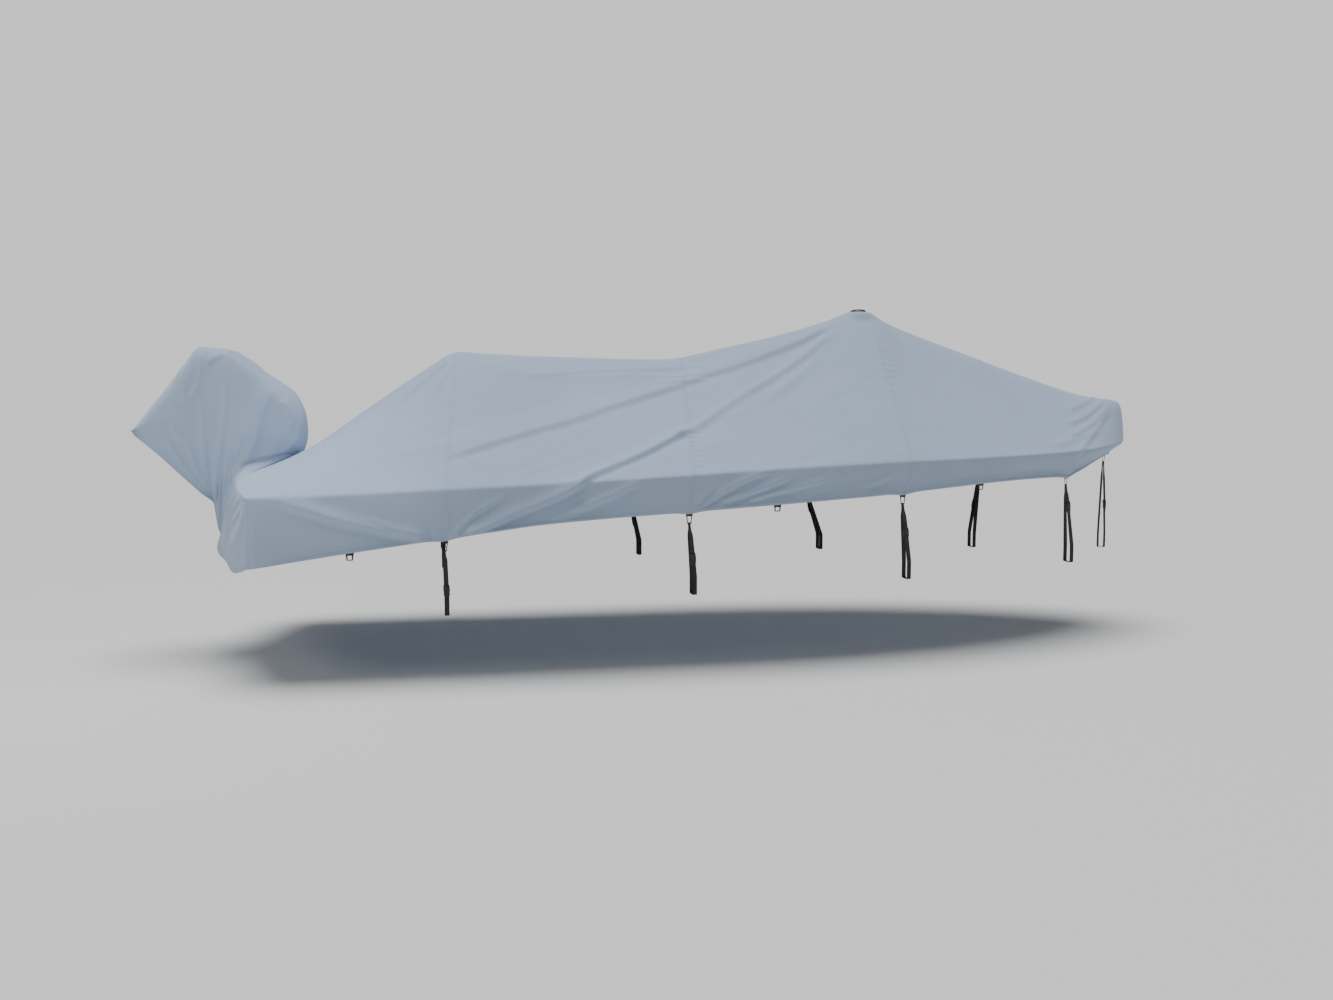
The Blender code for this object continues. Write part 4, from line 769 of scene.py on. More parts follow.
def hood_grid():
    """The motor hood, with its folds: points and its material's measures."""
    ribs = np.linspace(0.0, LAST_RIB, HOOD_CELLS[0] + 1)
    t, side = both_sides(np.linspace(0.0, 1.0, HOOD_CELLS[1] + 1))
    points = hood_surface(ribs[:, None], t[None, :], side[None, :])
    soften(points, 3)
    normal = grid_normals(points, HOOD_INSIDE)
    rib, share, side = np.broadcast_arrays(ribs[:, None], t[None, :], side[None, :])
    relief = sum(np.where(side == fold.side, hood_fold_relief(points, rib, share, fold), 0.0)
                 for fold in HOOD_FOLDS)
    drift = np.where(side > 0, 13.0, 0.0)
    relief += hills(rib, share, drift, (.0035, 2.6, .42, 0, drift, 21),
                    (.0016, .9, .30, 0, drift, 22))
    neck = np.exp(-((rib - NECK_RIB) / 3.2) ** 2) * rise(share, 0.3, 0.55)
    relief += 0.0030 * neck * np.sin(rib * 5.2 + 2.0 * uneven(rib, share / 0.2, 23))     # gathers
    girth = np.cumsum(np.linalg.norm(np.diff(points, axis=0, prepend=points[:1]), axis=-1), axis=0)
    hem_gap = np.minimum(girth, np.where(rib < NECK_RIB, (1.0 - share) * 0.9, 1.0))
    relief *= rise(1.0 - share, 0.10) * rise(girth, 0.03) * rise(LAST_RIB - rib, 0.8)
    points = points + normal * (relief + hem_rope(hem_gap))[..., None]
    seam_gap = np.where(rib >= NECK_RIB, (1.0 - share) * 0.7, 1.0)
    return points, {"seam_gap": seam_gap, "hem_gap": hem_gap, "run": rib * 0.09,
                    "girth": share * 0.8}


def transom_surface(across, down, side):
    """Points of the transom panel: across is 0 at the corner, 1 at the neck and 2 in the middle."""
    across, down, side = np.broadcast_arrays(np.asarray(across, dtype=float), down, side)
    steps = len(TOP_ROWS) - 1 - MEETING_ROW
    place = np.clip(across, 0.0, 1.0) * (steps + HOOD_MEETING - NECK_RIB)
    on_edge = edge_point(stern_row(len(TOP_ROWS) - 1 - place))
    hooded = hood_foot(np.clip(HOOD_MEETING - (place - steps), NECK_RIB, HOOD_MEETING))
    top = np.where((place <= steps)[..., None], on_edge, hooded)
    neck = hood_foot(np.full_like(place, NECK_RIB))
    beyond = np.clip(across - 1.0, 0.0, 1.0)[..., None]
    top = np.where((across > 1.0)[..., None], neck + (TRANSOM_MIDDLE - neck) * beyond, top)

    corner = edge_point(np.array(2.0))
    rows = [*TRANSOM_HEM, (-corner[1], corner[0], corner[2])]
    hem_y = -top[..., 1] * (corner[1] / edge_point(np.array(1.0))[1])
    hem = np.stack([curve([(row[0], row[1]) for row in rows])(hem_y), -hem_y,
                    curve([(row[0], row[2]) for row in rows])(hem_y)], axis=-1)
    point = top + (hem - top) * down[..., None]
    swell = np.sin(math.pi * np.clip(down, 0, 1) ** 1.5) ** 0.8
    point[..., 0] -= TRANSOM_SWELL * rise(across, 0.3) * swell
    return on_side(np.where((across <= 0.0)[..., None], edge_point(1.0 + down), point), side)


def transom_grid():
    """The panel that closes the stern, with its pleats: points and its material's measures."""
    half = np.concatenate([np.linspace(0, 1, TRANSOM_CELLS[0] + 1),
                           1 + np.linspace(0, 1, TRANSOM_MIDDLE_CELLS + 1)[1:]])
    across, side = both_sides(half[::-1])
    down = np.linspace(0.0, 1.0, TRANSOM_CELLS[1] + 1)
    points = transom_surface(across[None, :], down[:, None], side[None, :])
    soften(points, 5)
    normal = grid_normals(points, TRANSOM_INSIDE)
    out, z = np.abs(points[..., 1]), points[..., 2]
    on_port = points[..., 1] > 0
    relief = sum(fold_relief(out, z, pleat, *PLEAT_FADES) for pleat in PLEATS)
    relief *= np.where(on_port, 0.85, 1.0)
    drift = np.where(on_port, 17.0, 0.0)
    relief += hills(out, z, drift, (.0030, .16, .22, 0, 0, 31), (.0014, .05, .12, 2, 0, 32))
    across, down = np.broadcast_arrays(across[None, :], down[:, None])
    hem_gap, top_gap = (1.0 - down) * TRANSOM_SPAN[1], down * TRANSOM_SPAN[1]
    corner_gap = np.minimum(across, 1.0) * TRANSOM_SPAN[0]
    relief *= rise(corner_gap, 0.04) * rise(top_gap, 0.04)
    relief += hem_rope(hem_gap) * rise(corner_gap, 0.02)
    points = round_stern_corner(points + normal * relief[..., None])
    return points, {"seam_gap": np.minimum(corner_gap, top_gap), "hem_gap": hem_gap,
                    "run": points[..., 1], "girth": z}


# ---- Making meshes ----

def put(context, name, mesh, kind, frame_node):
    """Link a piece, dress it in the material of its kind, and let it stand for its frame node."""
    piece = bpy.data.objects.new(name, mesh)
    context.scene.collection.objects.link(piece)
    mesh.materials.append(coat_of(kind, context.scene.cover_settings))
    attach(piece, "root")
    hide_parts(frame_node)
    return piece


def smooth_mesh(name, verts, faces, **fields):
    """A smooth-shaded mesh, with the measures that its material reads."""
    mesh = bpy.data.meshes.new(name)
    mesh.from_pydata(np.asarray(verts).tolist(), [], [list(map(int, face)) for face in faces])
    mesh.shade_smooth()
    for key, value in fields.items():
        layer = mesh.attributes.new(key, "FLOAT", "POINT")
        layer.data.foreach_set("value", np.asarray(value, dtype=np.float32))
    return mesh


def rework(mesh, operation):
    """Put a mesh through one bmesh operation."""
    work = bmesh.new()
    work.from_mesh(mesh)
    operation(work)
    work.to_mesh(mesh)
    work.free()


def outward_faces(mesh, sharp_angle=SHARP_MOULDING):
    """Turn a closed mesh's faces outward and mark its sharp edges."""
    rework(mesh, lambda work: bmesh.ops.recalc_face_normals(work, faces=work.faces))
    mesh.set_sharp_from_angle(angle=math.radians(sharp_angle))
    return mesh


def tube_quads(rings, around, closed=False):
    """Faces between a tube's rings; in a closed tube the last ring meets the first."""
    index = np.arange(rings * around).reshape(rings, around)
    ahead = np.roll(index, -1, axis=0)
    quads = np.stack([index, np.roll(index, -1, axis=1), np.roll(ahead, -1, axis=1), ahead], -1)
    return (quads if closed else quads[:-1]).reshape(-1, 4).tolist()


def cloth_mesh(name, points, fields, inside, tongue=False, stem=False, welded=False):
    """A sheet with a back, its layers joined along the edges.

    A tongue runs on under the next panel's edge. At the stem the two sides meet and are welded."""
    normal = grid_normals(points, inside)
    if tongue:
        under = points[:, -1] + (points[:, -1] - points[:, -2]) - normal[:, -1] * TONGUE_DROP
        points = np.concatenate([points, under[:, None]], axis=1)
        normal = np.concatenate([normal, normal[:, -1:]], axis=1)
        fields = {key: np.concatenate([v, v[:, -1:]], axis=1) for key, v in fields.items()}
    if stem:
        normal[:, -1] = on_stem(normal[:, -1])
    outer = (points - ORIGIN).reshape(-1, 3)
    normal = normal.reshape(-1, 3)
    count = len(outer)
    index = np.arange(count).reshape(points.shape[:2])
    quads = np.stack([index[:-1, :-1], index[1:, :-1], index[1:, 1:], index[:-1, 1:]], axis=-1)
    quads = quads.reshape(-1, 4)
    ring = np.concatenate([index[0, :-1], index[:-1, -1], index[-1, :0:-1], index[:0:-1, 0]])
    following = np.roll(ring, -1)
    rim = np.stack([ring, following, following + count, ring + count], axis=-1)
    a, b, d = outer[quads[:, 0]], outer[quads[:, 1]], outer[quads[:, 3]]
    if (np.cross(b - a, d - a) * normal[quads[:, 0]]).sum() < 0:
        quads = quads[:, ::-1]
    else:
        rim = rim[:, ::-1]
    if stem:
        rim = rim[~(np.isin(ring, index[:, -1]) & np.isin(following, index[:, -1]))]
    mesh = smooth_mesh(name, np.concatenate([outer, outer - normal * SHEET_BACK]),
                       np.concatenate([quads, quads[:, ::-1] + count, rim]),
                       **{key: np.tile(value.reshape(-1), 2) for key, value in fields.items()})
    if welded:
        rework(mesh, lambda work: bmesh.ops.remove_doubles(work, verts=work.verts, dist=2e-5))
    mesh.set_sharp_from_angle(angle=math.radians(SHARP_CLOTH))
    return mesh


def rounded_path(places, radius):
    """A line whose corners are rounded, and the share of the given places at each point."""
    line, share = [places[0]], [0.0]
    for k in range(1, len(places) - 1):
        here = places[k]
        back, ahead = places[k - 1] - here, places[k + 1] - here
        start, finish = (here + way / np.linalg.norm(way) * min(radius, np.linalg.norm(way) / 2)
                         for way in (back, ahead))
        for t in (0.0, 0.33, 0.67, 1.0):
            line.append(start * (1 - t) ** 2 + here * 2 * t * (1 - t) + finish * t * t)
            share.append(k - 0.01 + 0.02 * t)
    line.append(places[-1])
    share.append(len(places) - 1.0)
    full, full_share = [line[0]], [share[0]]
    for a, b, sa, sb in zip(line, line[1:], share, share[1:]):
        cells = max(1, int(np.linalg.norm(b - a) / PATH_STEP))
        for k in range(1, cells + 1):
            full.append(a + (b - a) * k / cells)
            full_share.append(sa + (sb - sa) * k / cells)
    return np.array(full), np.array(full_share)


def webbing_mesh(name, centres, across, widths, thickness):
    """A woven band along a path, with rounded edges and a shallow rib along each side."""
    centres = np.asarray(centres) - ORIGIN
    along = np.gradient(centres, axis=0)
    along /= np.linalg.norm(along, axis=1, keepdims=True)
    across = across - along * (across * along).sum(axis=1, keepdims=True)
    across /= np.linalg.norm(across, axis=1, keepdims=True)
    lift = np.cross(along, across)
    half = [(-.5, 0), (-.47, .42), (-.36, .5), (-.30, .42), (0, .46), (.30, .42), (.36, .5),
            (.47, .42)]
    section = np.array(half + [(-u, -v) for u, v in half])
    count = len(section)
    rings = (centres[:, None] + across[:, None] * (section[:, :1] * widths[:, None, None])
             + lift[:, None] * (section[:, 1:] * thickness))
    run = np.cumsum(np.linalg.norm(np.diff(centres, axis=0, prepend=centres[:1]), axis=1))
    ends = [range(count - 1, -1, -1), range((len(rings) - 1) * count, len(rings) * count)]
    mesh = smooth_mesh(name, rings.reshape(-1, 3), tube_quads(len(rings), count) + ends,
                       run=np.repeat(run, count),
                       girth=(section[None, :, 0] * widths[:, None]).reshape(-1))
    return outward_faces(mesh, SHARP_WEBBING)


# ---- Materials ----

def linear(hex_colour):
    """An sRGB hex colour as linear RGBA."""
    rgb = [int(hex_colour[i:i + 2], 16) / 255 for i in (1, 3, 5)]
    rgb = [c / 12.92 if c <= 0.04045 else ((c + 0.055) / 1.055) ** 2.4 for c in rgb]
    return (*rgb, 1.0)


def node(tree, kind, settings=None, **links):
    """Add one shader node with its settings, input values and links."""
    made = tree.nodes.new("ShaderNode" + kind)
    for key, value in (settings or {}).items():
        setattr(made, key, value)
    for key, value in links.items():
        socket = made.inputs[int(key[1:]) if key[1:].isdigit() else key.replace("_", " ")]
        if isinstance(value, bpy.types.NodeSocket):
            tree.links.new(value, socket)
        else:
            socket.default_value = value
    return made


def measure(tree, name):
    """One of the measures that the mesh carries, in metres."""
    return node(tree, "Attribute", {"attribute_name": name}).outputs["Fac"]


def noise(tree, scale, detail, roughness=0.5):
    """Noise in the piece's own space; scale is its hills to the metre."""
    place = node(tree, "TexCoord").outputs["Object"]
    return node(tree, "TexNoise", Vector=place, Scale=scale, Detail=detail,
                Roughness=roughness).outputs["Fac"]


def calc(tree, operation, first, second=0.5):
    """The result of one Math node."""
    return node(tree, "Math", {"operation": operation}, _0=first, _1=second).outputs[0]


def remap(tree, value, low, high, to_low, to_high):
    """A value stretched from one range to another, and held inside it."""
    return node(tree, "MapRange", Value=value, From_Min=low, From_Max=high, To_Min=to_low,
                To_Max=to_high).outputs[0]


def mixed(tree, share, first, second, blend="MIX"):
    """Two colours mixed."""
    return node(tree, "Mix", {"data_type": "RGBA", "blend_type": blend}, _0=share, _6=first,
                _7=second).outputs[2]


def bumps(tree, shader, *layers):
    """Bumps laid over each other, each with its height, strength and depth in metres."""
    under = {}
    for height, strength, depth in layers:
        made = node(tree, "Bump", Height=height, Strength=strength, Distance=depth, **under)
        under = {"Normal": made.outputs[0]}
    tree.links.new(under["Normal"], shader.inputs["Normal"])


def new_material(name, colour, roughness, **sockets):
    """A material with its uniform values set on the shader's own sockets."""
    made = bpy.data.materials.new(name)
    made.use_nodes = True
    shader = made.node_tree.nodes["Principled BSDF"]
    sockets.update(Base_Color=linear(colour), Roughness=roughness)
    for key, value in sockets.items():
        shader.inputs[key.replace("_", " ")].default_value = value
    return made, made.node_tree, shader


def coated_canvas(settings):
    """Solution-dyed polyester canvas, plain woven, coated inside: matte, with a faint sheen."""
    dye, thread_colour = settings.canvas_colour_hex, linear(settings.thread_colour_hex)
    made, tree, shader = new_material("Coated polyester canvas", dye, 0.82, IOR=1.5,
                                      Specular_IOR_Level=0.30, Sheen_Weight=0.12,
                                      Sheen_Roughness=0.6)
    hem_gap, seam_gap, run, girth = (measure(tree, key)
                                     for key in ("hem_gap", "seam_gap", "run", "girth"))
    # Weather and handling leave broad paler and darker clouds, about 0.45 m across.
    clouds = remap(tree, noise(tree, 2.2, 3.0, 0.55), 0.25, 0.75, 0.955, 1.04)
    # Slubs in the yarn, about 5 mm long: coarser than real, so that they show.
    slubs = remap(tree, noise(tree, 190.0, 2.0), 0.3, 0.7, 0.965, 1.03)
    # Road dust gathers in the lowest 50 mm, along the hem.
    dust = remap(tree, hem_gap, 0.0, 0.05, 0.95, 1.0)
    tint = calc(tree, "MULTIPLY", calc(tree, "MULTIPLY", clouds, slubs), dust)
    base = mixed(tree, 1.0, linear(dye), tint, "MULTIPLY")

    # Rows of lock stitch, 3 mm and 12 mm from a felled seam's edge and at the top of the hem. A
    # stitch is drawn 7 mm long at 9.5 mm, coarser than the real 4 mm, so that it shows.
    thread = 0.0
    for gap, along, distance in ((seam_gap, girth, 0.003), (seam_gap, girth, 0.012),
                                 (hem_gap, run, HEM_BAND)):
        off = calc(tree, "ABSOLUTE", calc(tree, "SUBTRACT", gap, distance))
        beat = calc(tree, "FRACT", calc(tree, "MULTIPLY", along, 1.0 / 0.0095))
        stitch = calc(tree, "MULTIPLY", remap(tree, off, 0.0005, 0.0011, 1.0, 0.0),
                      remap(tree, beat, 0.68, 0.78, 1.0, 0.0))
        thread = calc(tree, "MAXIMUM", thread, stitch)
    sewn = mixed(tree, calc(tree, "MULTIPLY", thread, 0.35), base, thread_colour)
    tree.links.new(sewn, shader.inputs["Base Color"])

    # The plain weave: warp and weft at 1.6 mm, drawn coarser than the real 0.5 mm so that it shows.
    warp, weft = (calc(tree, "SINE", calc(tree, "MULTIPLY", along, 2 * math.pi / 0.0016))
                  for along in (run, girth))
    # Over the weave and the thread: the cloth's own cockle and the fine creases left from folding.
    bumps(tree, shader, (calc(tree, "MULTIPLY", warp, weft), 0.25, 0.0001), (thread, 0.7, 0.0006),
          (noise(tree, 85.0, 3.0), 0.35, 0.0006), (noise(tree, 26.0, 4.0, 0.6), 0.45, 0.0030))
    return made


def black_webbing(settings):
    """Woven polypropylene webbing: black, with a herringbone rib and a painted dull sheen on its
    yarns.
    """
    made, tree, shader = new_material("Polypropylene webbing", settings.webbing_colour_hex, 0.62,
                                      IOR=1.49, Specular_IOR_Level=0.45, Sheen_Weight=0.10)
    # Herringbone: yarns slant both ways about lines 4 mm apart, at a 2 mm pitch.
    zigzag = calc(tree, "PINGPONG", measure(tree, "girth"), 0.004)
    slant = calc(tree, "ADD", measure(tree, "run"), zigzag)
    yarn = calc(tree, "SINE", calc(tree, "MULTIPLY", slant, 2 * math.pi / 0.002))
    # Lint and wear pale the yarns in patches about 17 mm across.
    worn = remap(tree, noise(tree, 60.0, 4.0), 0.35, 0.75, 0.0, 0.5)
    # The yarns' crests are painted paler along the herringbone, a painted sheen; the real lint and
    # wear are added to it.
    pale = calc(tree, "ADD", remap(tree, yarn, -1.0, 1.0, 0.0, 0.5), worn)
    base = mixed(tree, pale, linear(settings.webbing_colour_hex), linear("#33322F"))
    tree.links.new(base, shader.inputs["Base Color"])
    bumps(tree, shader, (yarn, 0.6, 0.0003))
    return made


def moulded_acetal(settings):
    """Injection-moulded acetal: black, a fine spark-eroded grain, a low gloss and scuffed edges."""
    made, tree, shader = new_material("Moulded acetal", settings.plastic_colour_hex, 0.38,
                                      IOR=1.48, Specular_IOR_Level=0.5)
    # Scuffs about 8 mm across roughen the gloss and show paler where they are deep.
    scuff = noise(tree, 120.0, 5.0, 0.65)
    tree.links.new(remap(tree, scuff, 0.3, 0.7, 0.32, 0.52), shader.inputs["Roughness"])
    worn = remap(tree, scuff, 0.5, 0.8, 0.0, 0.6)
    base = mixed(tree, worn, linear(settings.plastic_colour_hex), linear("#3A3A3C"))
    tree.links.new(base, shader.inputs["Base Color"])
    # The mould's grain is about 1 mm, coarser than the real 0.1 mm so that it shows.
    bumps(tree, shader, (noise(tree, 900.0, 2.0), 0.3, 0.0002))
    return made


MATERIALS = {}


def coat_of(kind, settings):
    """The material of a kind, made once."""
    if kind not in MATERIALS:
        make = {"canvas": coated_canvas, "webbing": black_webbing, "plastic": moulded_acetal}[kind]
        MATERIALS[kind] = make(settings)
    return MATERIALS[kind]


# ---- Settings ----

class CoverSettings(bpy.types.PropertyGroup):
    canvas_colour_hex: bpy.props.StringProperty(
        name="Canvas colour", description="sRGB colour of the dyed canvas", default="#A2B4CD")
    thread_colour_hex: bpy.props.StringProperty(
        name="Thread colour", description="sRGB colour of the sewing thread", default="#7E8791")
    webbing_colour_hex: bpy.props.StringProperty(
        name="Webbing colour", description="sRGB colour of the straps and tabs", default="#17171A")
    plastic_colour_hex: bpy.props.StringProperty(
        name="Plastic colour", description="sRGB colour of the buckles and cap", default="#141416")
    webbing_thickness: bpy.props.FloatProperty(
        name="Webbing thickness", description="Thickness of the tie-down straps", default=0.0017,
        unit="LENGTH", subtype="DISTANCE")


class StageSettings(bpy.types.PropertyGroup):
    floor_colour_hex: bpy.props.StringProperty(
        name="Floor colour", description="sRGB colour of the floor", default="#D8D8D7")
    backdrop_colour_hex: bpy.props.StringProperty(
        name="Backdrop colour", description="sRGB colour behind the floor", default="#F3F3F3")
    sky_strength: bpy.props.FloatProperty(
        name="Ambient light", description="Brightness of the light from all round", default=0.20)
    top_light: bpy.props.FloatProperty(
        name="Top light", description="Strength of the broad light overhead", default=3.55)
    stern_light: bpy.props.FloatProperty(
        name="Stern light", description="Power of the soft light beside the stern", default=15.0,
        unit="POWER")
    hood_light: bpy.props.FloatProperty(
        name="Hood light", description="Power of the narrow light on the hood's side",
        default=320.0, unit="POWER")
    lens: bpy.props.FloatProperty(
        name="Lens", description="Focal length of the camera in millimetres", default=33.152)


# ---- The canvas panels ----

def sew(context, name, frame_node, points, fields, inside, held, rests_on=(), **edges):
    """Make one canvas panel from its grid; the held and rests_on arguments are not used."""
    mesh = cloth_mesh(name + "_canvas", points, fields, inside, **edges)
    piece = put(context, name + "_canvas", mesh, "canvas", frame_node)


class COVER_OT_main_panels(bpy.types.Operator):
    """Lay the four panels of the main cover, with their folds, seams and hem"""
    bl_idname = "cover.main_panels"
    bl_label = "Main panels"

    def execute(self, context):
        points, fields, starts = cover_grid()
        for number, name in enumerate(PANELS):
            part = slice(starts[number], starts[number + 1] + 1)
            middle = points[:, part, 0].mean()
            inside = np.array([middle, 0.0, COVER_INSIDE[2]])
            last = name == PANELS[-1]
            sew(context, name, name + "_panel", points[:, part],
                {key: value[:, part] for key, value in fields.items()}, inside, "draped",
                tongue=not last, stem=last, welded=last)
        return {"FINISHED"}


class COVER_OT_motor_hood(bpy.types.Operator):
    """Lay the hood over the tilted motor, with its gathers and open mouth"""
    bl_idname = "cover.motor_hood"
    bl_label = "Motor hood"

    def execute(self, context):
        sew(context, "hood", "motor_hood", *hood_grid(), HOOD_INSIDE, "draped", ["stern_canvas"],
            welded=True)
        return {"FINISHED"}


class COVER_OT_transom_panel(bpy.types.Operator):
    """Hang the transom panel under the hood, with its pleats"""
    bl_idname = "cover.transom_panel"
    bl_label = "Transom panel"

    def execute(self, context):
        sew(context, "transom", "transom_panel", *transom_grid(), TRANSOM_INSIDE, "hung",
            ["stern_canvas"])
        return {"FINISHED"}


# ---- Tabs, straps, buckles and cap ----

def superellipse(angle, power):
    """A point of a rounded square, from -1 to 1 each way; a lower power is squarer."""
    c, s = math.cos(angle), math.sin(angle)
    return math.copysign(abs(c) ** power, c), math.copysign(abs(s) ** power, s)


def tab_frame(name):
    """Where a tab hangs: its place on the hem, its tangent, its outward direction and height."""
    shown = NODES[name]
    co = np.array([shown.matrix_world @ v.co for v in shown.data.vertices], float)
    centre = (co.min(axis=0) + co.max(axis=0)) / 2
    outward = np.linalg.svd(co - co.mean(axis=0), full_matrices=False)[2][2]
    outward[2] = 0.0
    outward /= np.linalg.norm(outward)
    at_side = abs(centre[1]) > 0.05
    outward *= math.copysign(1.0, outward[1] * centre[1] if at_side else outward[0])
    tangent = np.cross(UP, outward)
    if at_side and tangent[0] < 0:
        tangent = -tangent
    centre[2] = co[:, 2].max() - TAB_SEWN
    return centre + ORIGIN, tangent, outward, centre[2] - co[:, 2].min()


def tab_mesh(name, centre, tangent, outward, height, foot, hole_foot):
    """A webbing loop, narrower at its foot, with a hole that a strap passes through."""
    wide, narrow = TAB_WIDTH / 2, TAB_HOLE / 2
    start, hole_start = height * 0.7, height * 0.7 - 0.002
    outline = [(-wide, -TAB_SEWN), (wide, -TAB_SEWN), (wide, 0.0)]
    hole = [(-narrow, height * 0.38), (narrow, height * 0.38), (narrow, height * 0.44)]
    for k in range(13):
        across, below = superellipse(math.pi * k / 12, 0.3)
        outline.append((foot / 2 * across, start + (height - start) * below))
        hole.append((hole_foot / 2 * across, hole_start + (height - hole_start - TAB_BAR) * below))
    outline, hole = np.array([*outline, (-wide, 0.0)]), np.array([*hole, (-narrow, height * 0.44)])
    finer = np.linspace(0, len(outline), 4 * len(outline), endpoint=False)
    ring = np.arange(len(outline) + 1)
    outline, hole = (np.stack([np.interp(finer, ring, np.append(line[:, k], line[0, k]))
                               for k in (0, 1)], axis=-1) for line in (outline, hole))
    section = np.array([(0, 0), (.05, .38), (.14, .5), (.5, .46), (.86, .5), (.95, .38), (1, 0),
                        (.95, -.38), (.86, -.5), (.5, -.46), (.14, -.5), (.05, -.38)])
    flat = outline[:, None] + (hole - outline)[:, None] * section[:, :1]
    place = (centre - ORIGIN + flat[..., :1] * tangent - flat[..., 1:] * UP
             + section[:, 1:] * WEBBING * outward)
    count, around = place.shape[:2]
    run = np.cumsum(np.linalg.norm(np.diff(outline, axis=0, prepend=outline[:1]), axis=1))
    width = np.linalg.norm(hole - outline, axis=1)
    mesh = smooth_mesh(name, place.reshape(-1, 3), tube_quads(count, around, closed=True),
                       run=np.repeat(run, around),
                       girth=(section[:, 0] * width[:, None]).reshape(-1))
    return outward_faces(mesh, SHARP_WEBBING)


def strap_path(strap):
    """A strap's middle line, from its buckle down round the rail, up over its tab and back to it.

    Also gives the direction across the band and how near its tab it is at each place of the line,
    and the buckle's own place."""
    hem, tangent, outward, height = tab_frame("tab_" + strap.name)
    bar = hem - UP * (height - TAB_BAR / 2)
    rail_out = np.array([0.0, strap.side, 0.0]) if strap.side else np.array([1.0, 0.0, 0.0])
    rail = np.array([strap.rail_x, strap.rail_y, strap.rail_z])
    half = (RAIL_WIDTH if strap.side else BOW_BAR_WIDTH) / 2 + WEBBING / 2
    low_out, low_in = (rail + rail_out * way * half - UP * (WEBBING / 2) for way in (1, -1))
    high_out, high_in = (rail + rail_out * way * half + UP * RAIL_HEIGHT for way in (1, -1))
    outer_bar, inner_bar = bar + outward * BAR_BEND, bar - outward * BAR_BEND
    share = (strap.buckle_z - high_out[2]) / (bar[2] - high_out[2])
    at_buckle = high_out + (outer_bar - high_out) * share
    line = (outer_bar - high_out) / np.linalg.norm(outer_bar - high_out)
    along_rail = np.cross(rail_out, UP)
    along_rail *= math.copysign(1.0, along_rail @ tangent)
    flat = along_rail * (1 - share) + tangent * share
    aside = np.cross(line, flat)
    aside *= math.copysign(1.0, aside @ rail_out) / np.linalg.norm(aside)
    doubled = aside * STRAND_GAP
    tail = min(LONGEST_TAIL, strap.buckle_z - high_out[2] - 0.002)
    path = [at_buckle + line * 0.020, at_buckle - line * 0.035, high_out]
    for corner, inward in ((low_out, -rail_out), (low_in, rail_out)):
        turn = [corner + UP * RAIL_CORNER, corner + (inward + UP) * 0.3 * RAIL_CORNER,
                corner + inward * RAIL_CORNER]
        path += turn if corner is low_out else turn[::-1]
    path += [high_in, inner_bar + (high_in - inner_bar) * 0.3, inner_bar - UP * 0.004]
    for k in range(9):                   # over the tab's bar
        angle = math.pi * k / 8
        path.append(bar - outward * BAR_BEND * math.cos(angle)
                    + UP * (0.0008 + BAR_BEND * math.sin(angle)))
    path += [outer_bar - UP * 0.006, at_buckle + line * 0.034 + doubled,
             at_buckle - line * tail + doubled]
    path = np.array(path)
    near_tab = np.clip((path[:, 2] - high_out[2]) / (bar[2] - high_out[2]), 0.0, 1.0)
    across = along_rail * (1 - near_tab[:, None]) + tangent * near_tab[:, None]
    flat -= line * (flat @ line)
    flat /= np.linalg.norm(flat)
    face = np.cross(flat, line)
    face *= math.copysign(1.0, face @ aside)
    place = Matrix((flat, face, np.cross(flat, face))).transposed().to_4x4()
    place.translation = Vector(at_buckle + face * STRAND_GAP / 2 - ORIGIN)
    return path, across, near_tab, place


def block(work, x, y, z, size, edge):
    """A box with rounded edges in a bmesh."""
    matrix = Matrix.Translation((x, y, z)) @ Matrix.Diagonal((*size, 1.0))
    made = bmesh.ops.create_cube(work, size=1.0, matrix=matrix)["verts"]
    edges = list({e for v in made for e in v.link_edges})
    bmesh.ops.bevel(work, geom=edges, offset=edge, segments=2, profile=0.6, affect="EDGES")


def sleeve(work, sections, around=40):
    """A ring about the strap's slot; its sections give height, width and depth."""
    outer = [(*section, 0.5) for section in sections]
    inner = [(section[0], *BUCKLE_SLOT, 0.18) for section in sections[::-1]]
    verts = []
    for height, width, depth, power in outer + inner:
        for k in range(around):
            u, v = superellipse(2 * math.pi * (k + 0.5) / around, power)
            verts.append(work.verts.new((width / 2 * u, depth / 2 * v, height)))
    for quad in tube_quads(2 * len(sections), around, closed=True):
        work.faces.new([verts[k] for k in quad])


def buckle_mesh(name, place):
    """A side-release buckle: a hollow body, the latch arms in its windows, a frame with bars."""
    width, depth = BUCKLE
    work = bmesh.new()
    for sections in BUCKLE_BODY, BUCKLE_FRAME:
        sleeve(work, [(z, width - off, depth - flat) for z, off, flat in sections])
    for way in (-1, 1):                  # the two latch arms, with grips for finger and thumb
        block(work, way * (width / 2 - .0016), 0, -.0035, (.0030, depth * .52, .0135), .0009)
        for step in range(4):
            block(work, way * (width / 2 - .0004), 0, -.0076 + step * .0027,
                  (.0008, depth * .46, .0011), .0002)
        for face in (-1, 1):             # ribs along the body
            block(work, way * .0078, face * (depth / 2 - .0004), -.0145,
                  (.0016, .0012, .0170), .0004)
    for face in (-1, 1):                 # a pad on the body, and bars across the frame
        block(work, 0, face * (depth / 2 - .0004), -.0040, (.0120, .0012, .0110), .0005)
        for level in (.0150, .0205, .0255):
            block(work, 0, face * (depth / 2 - .0014), level, (.0220, .0014, .0020), .0005)
    work.transform(place)
    mesh = bpy.data.meshes.new(name)
    work.to_mesh(mesh)
    work.free()
    mesh.shade_smooth()
    return outward_faces(mesh)


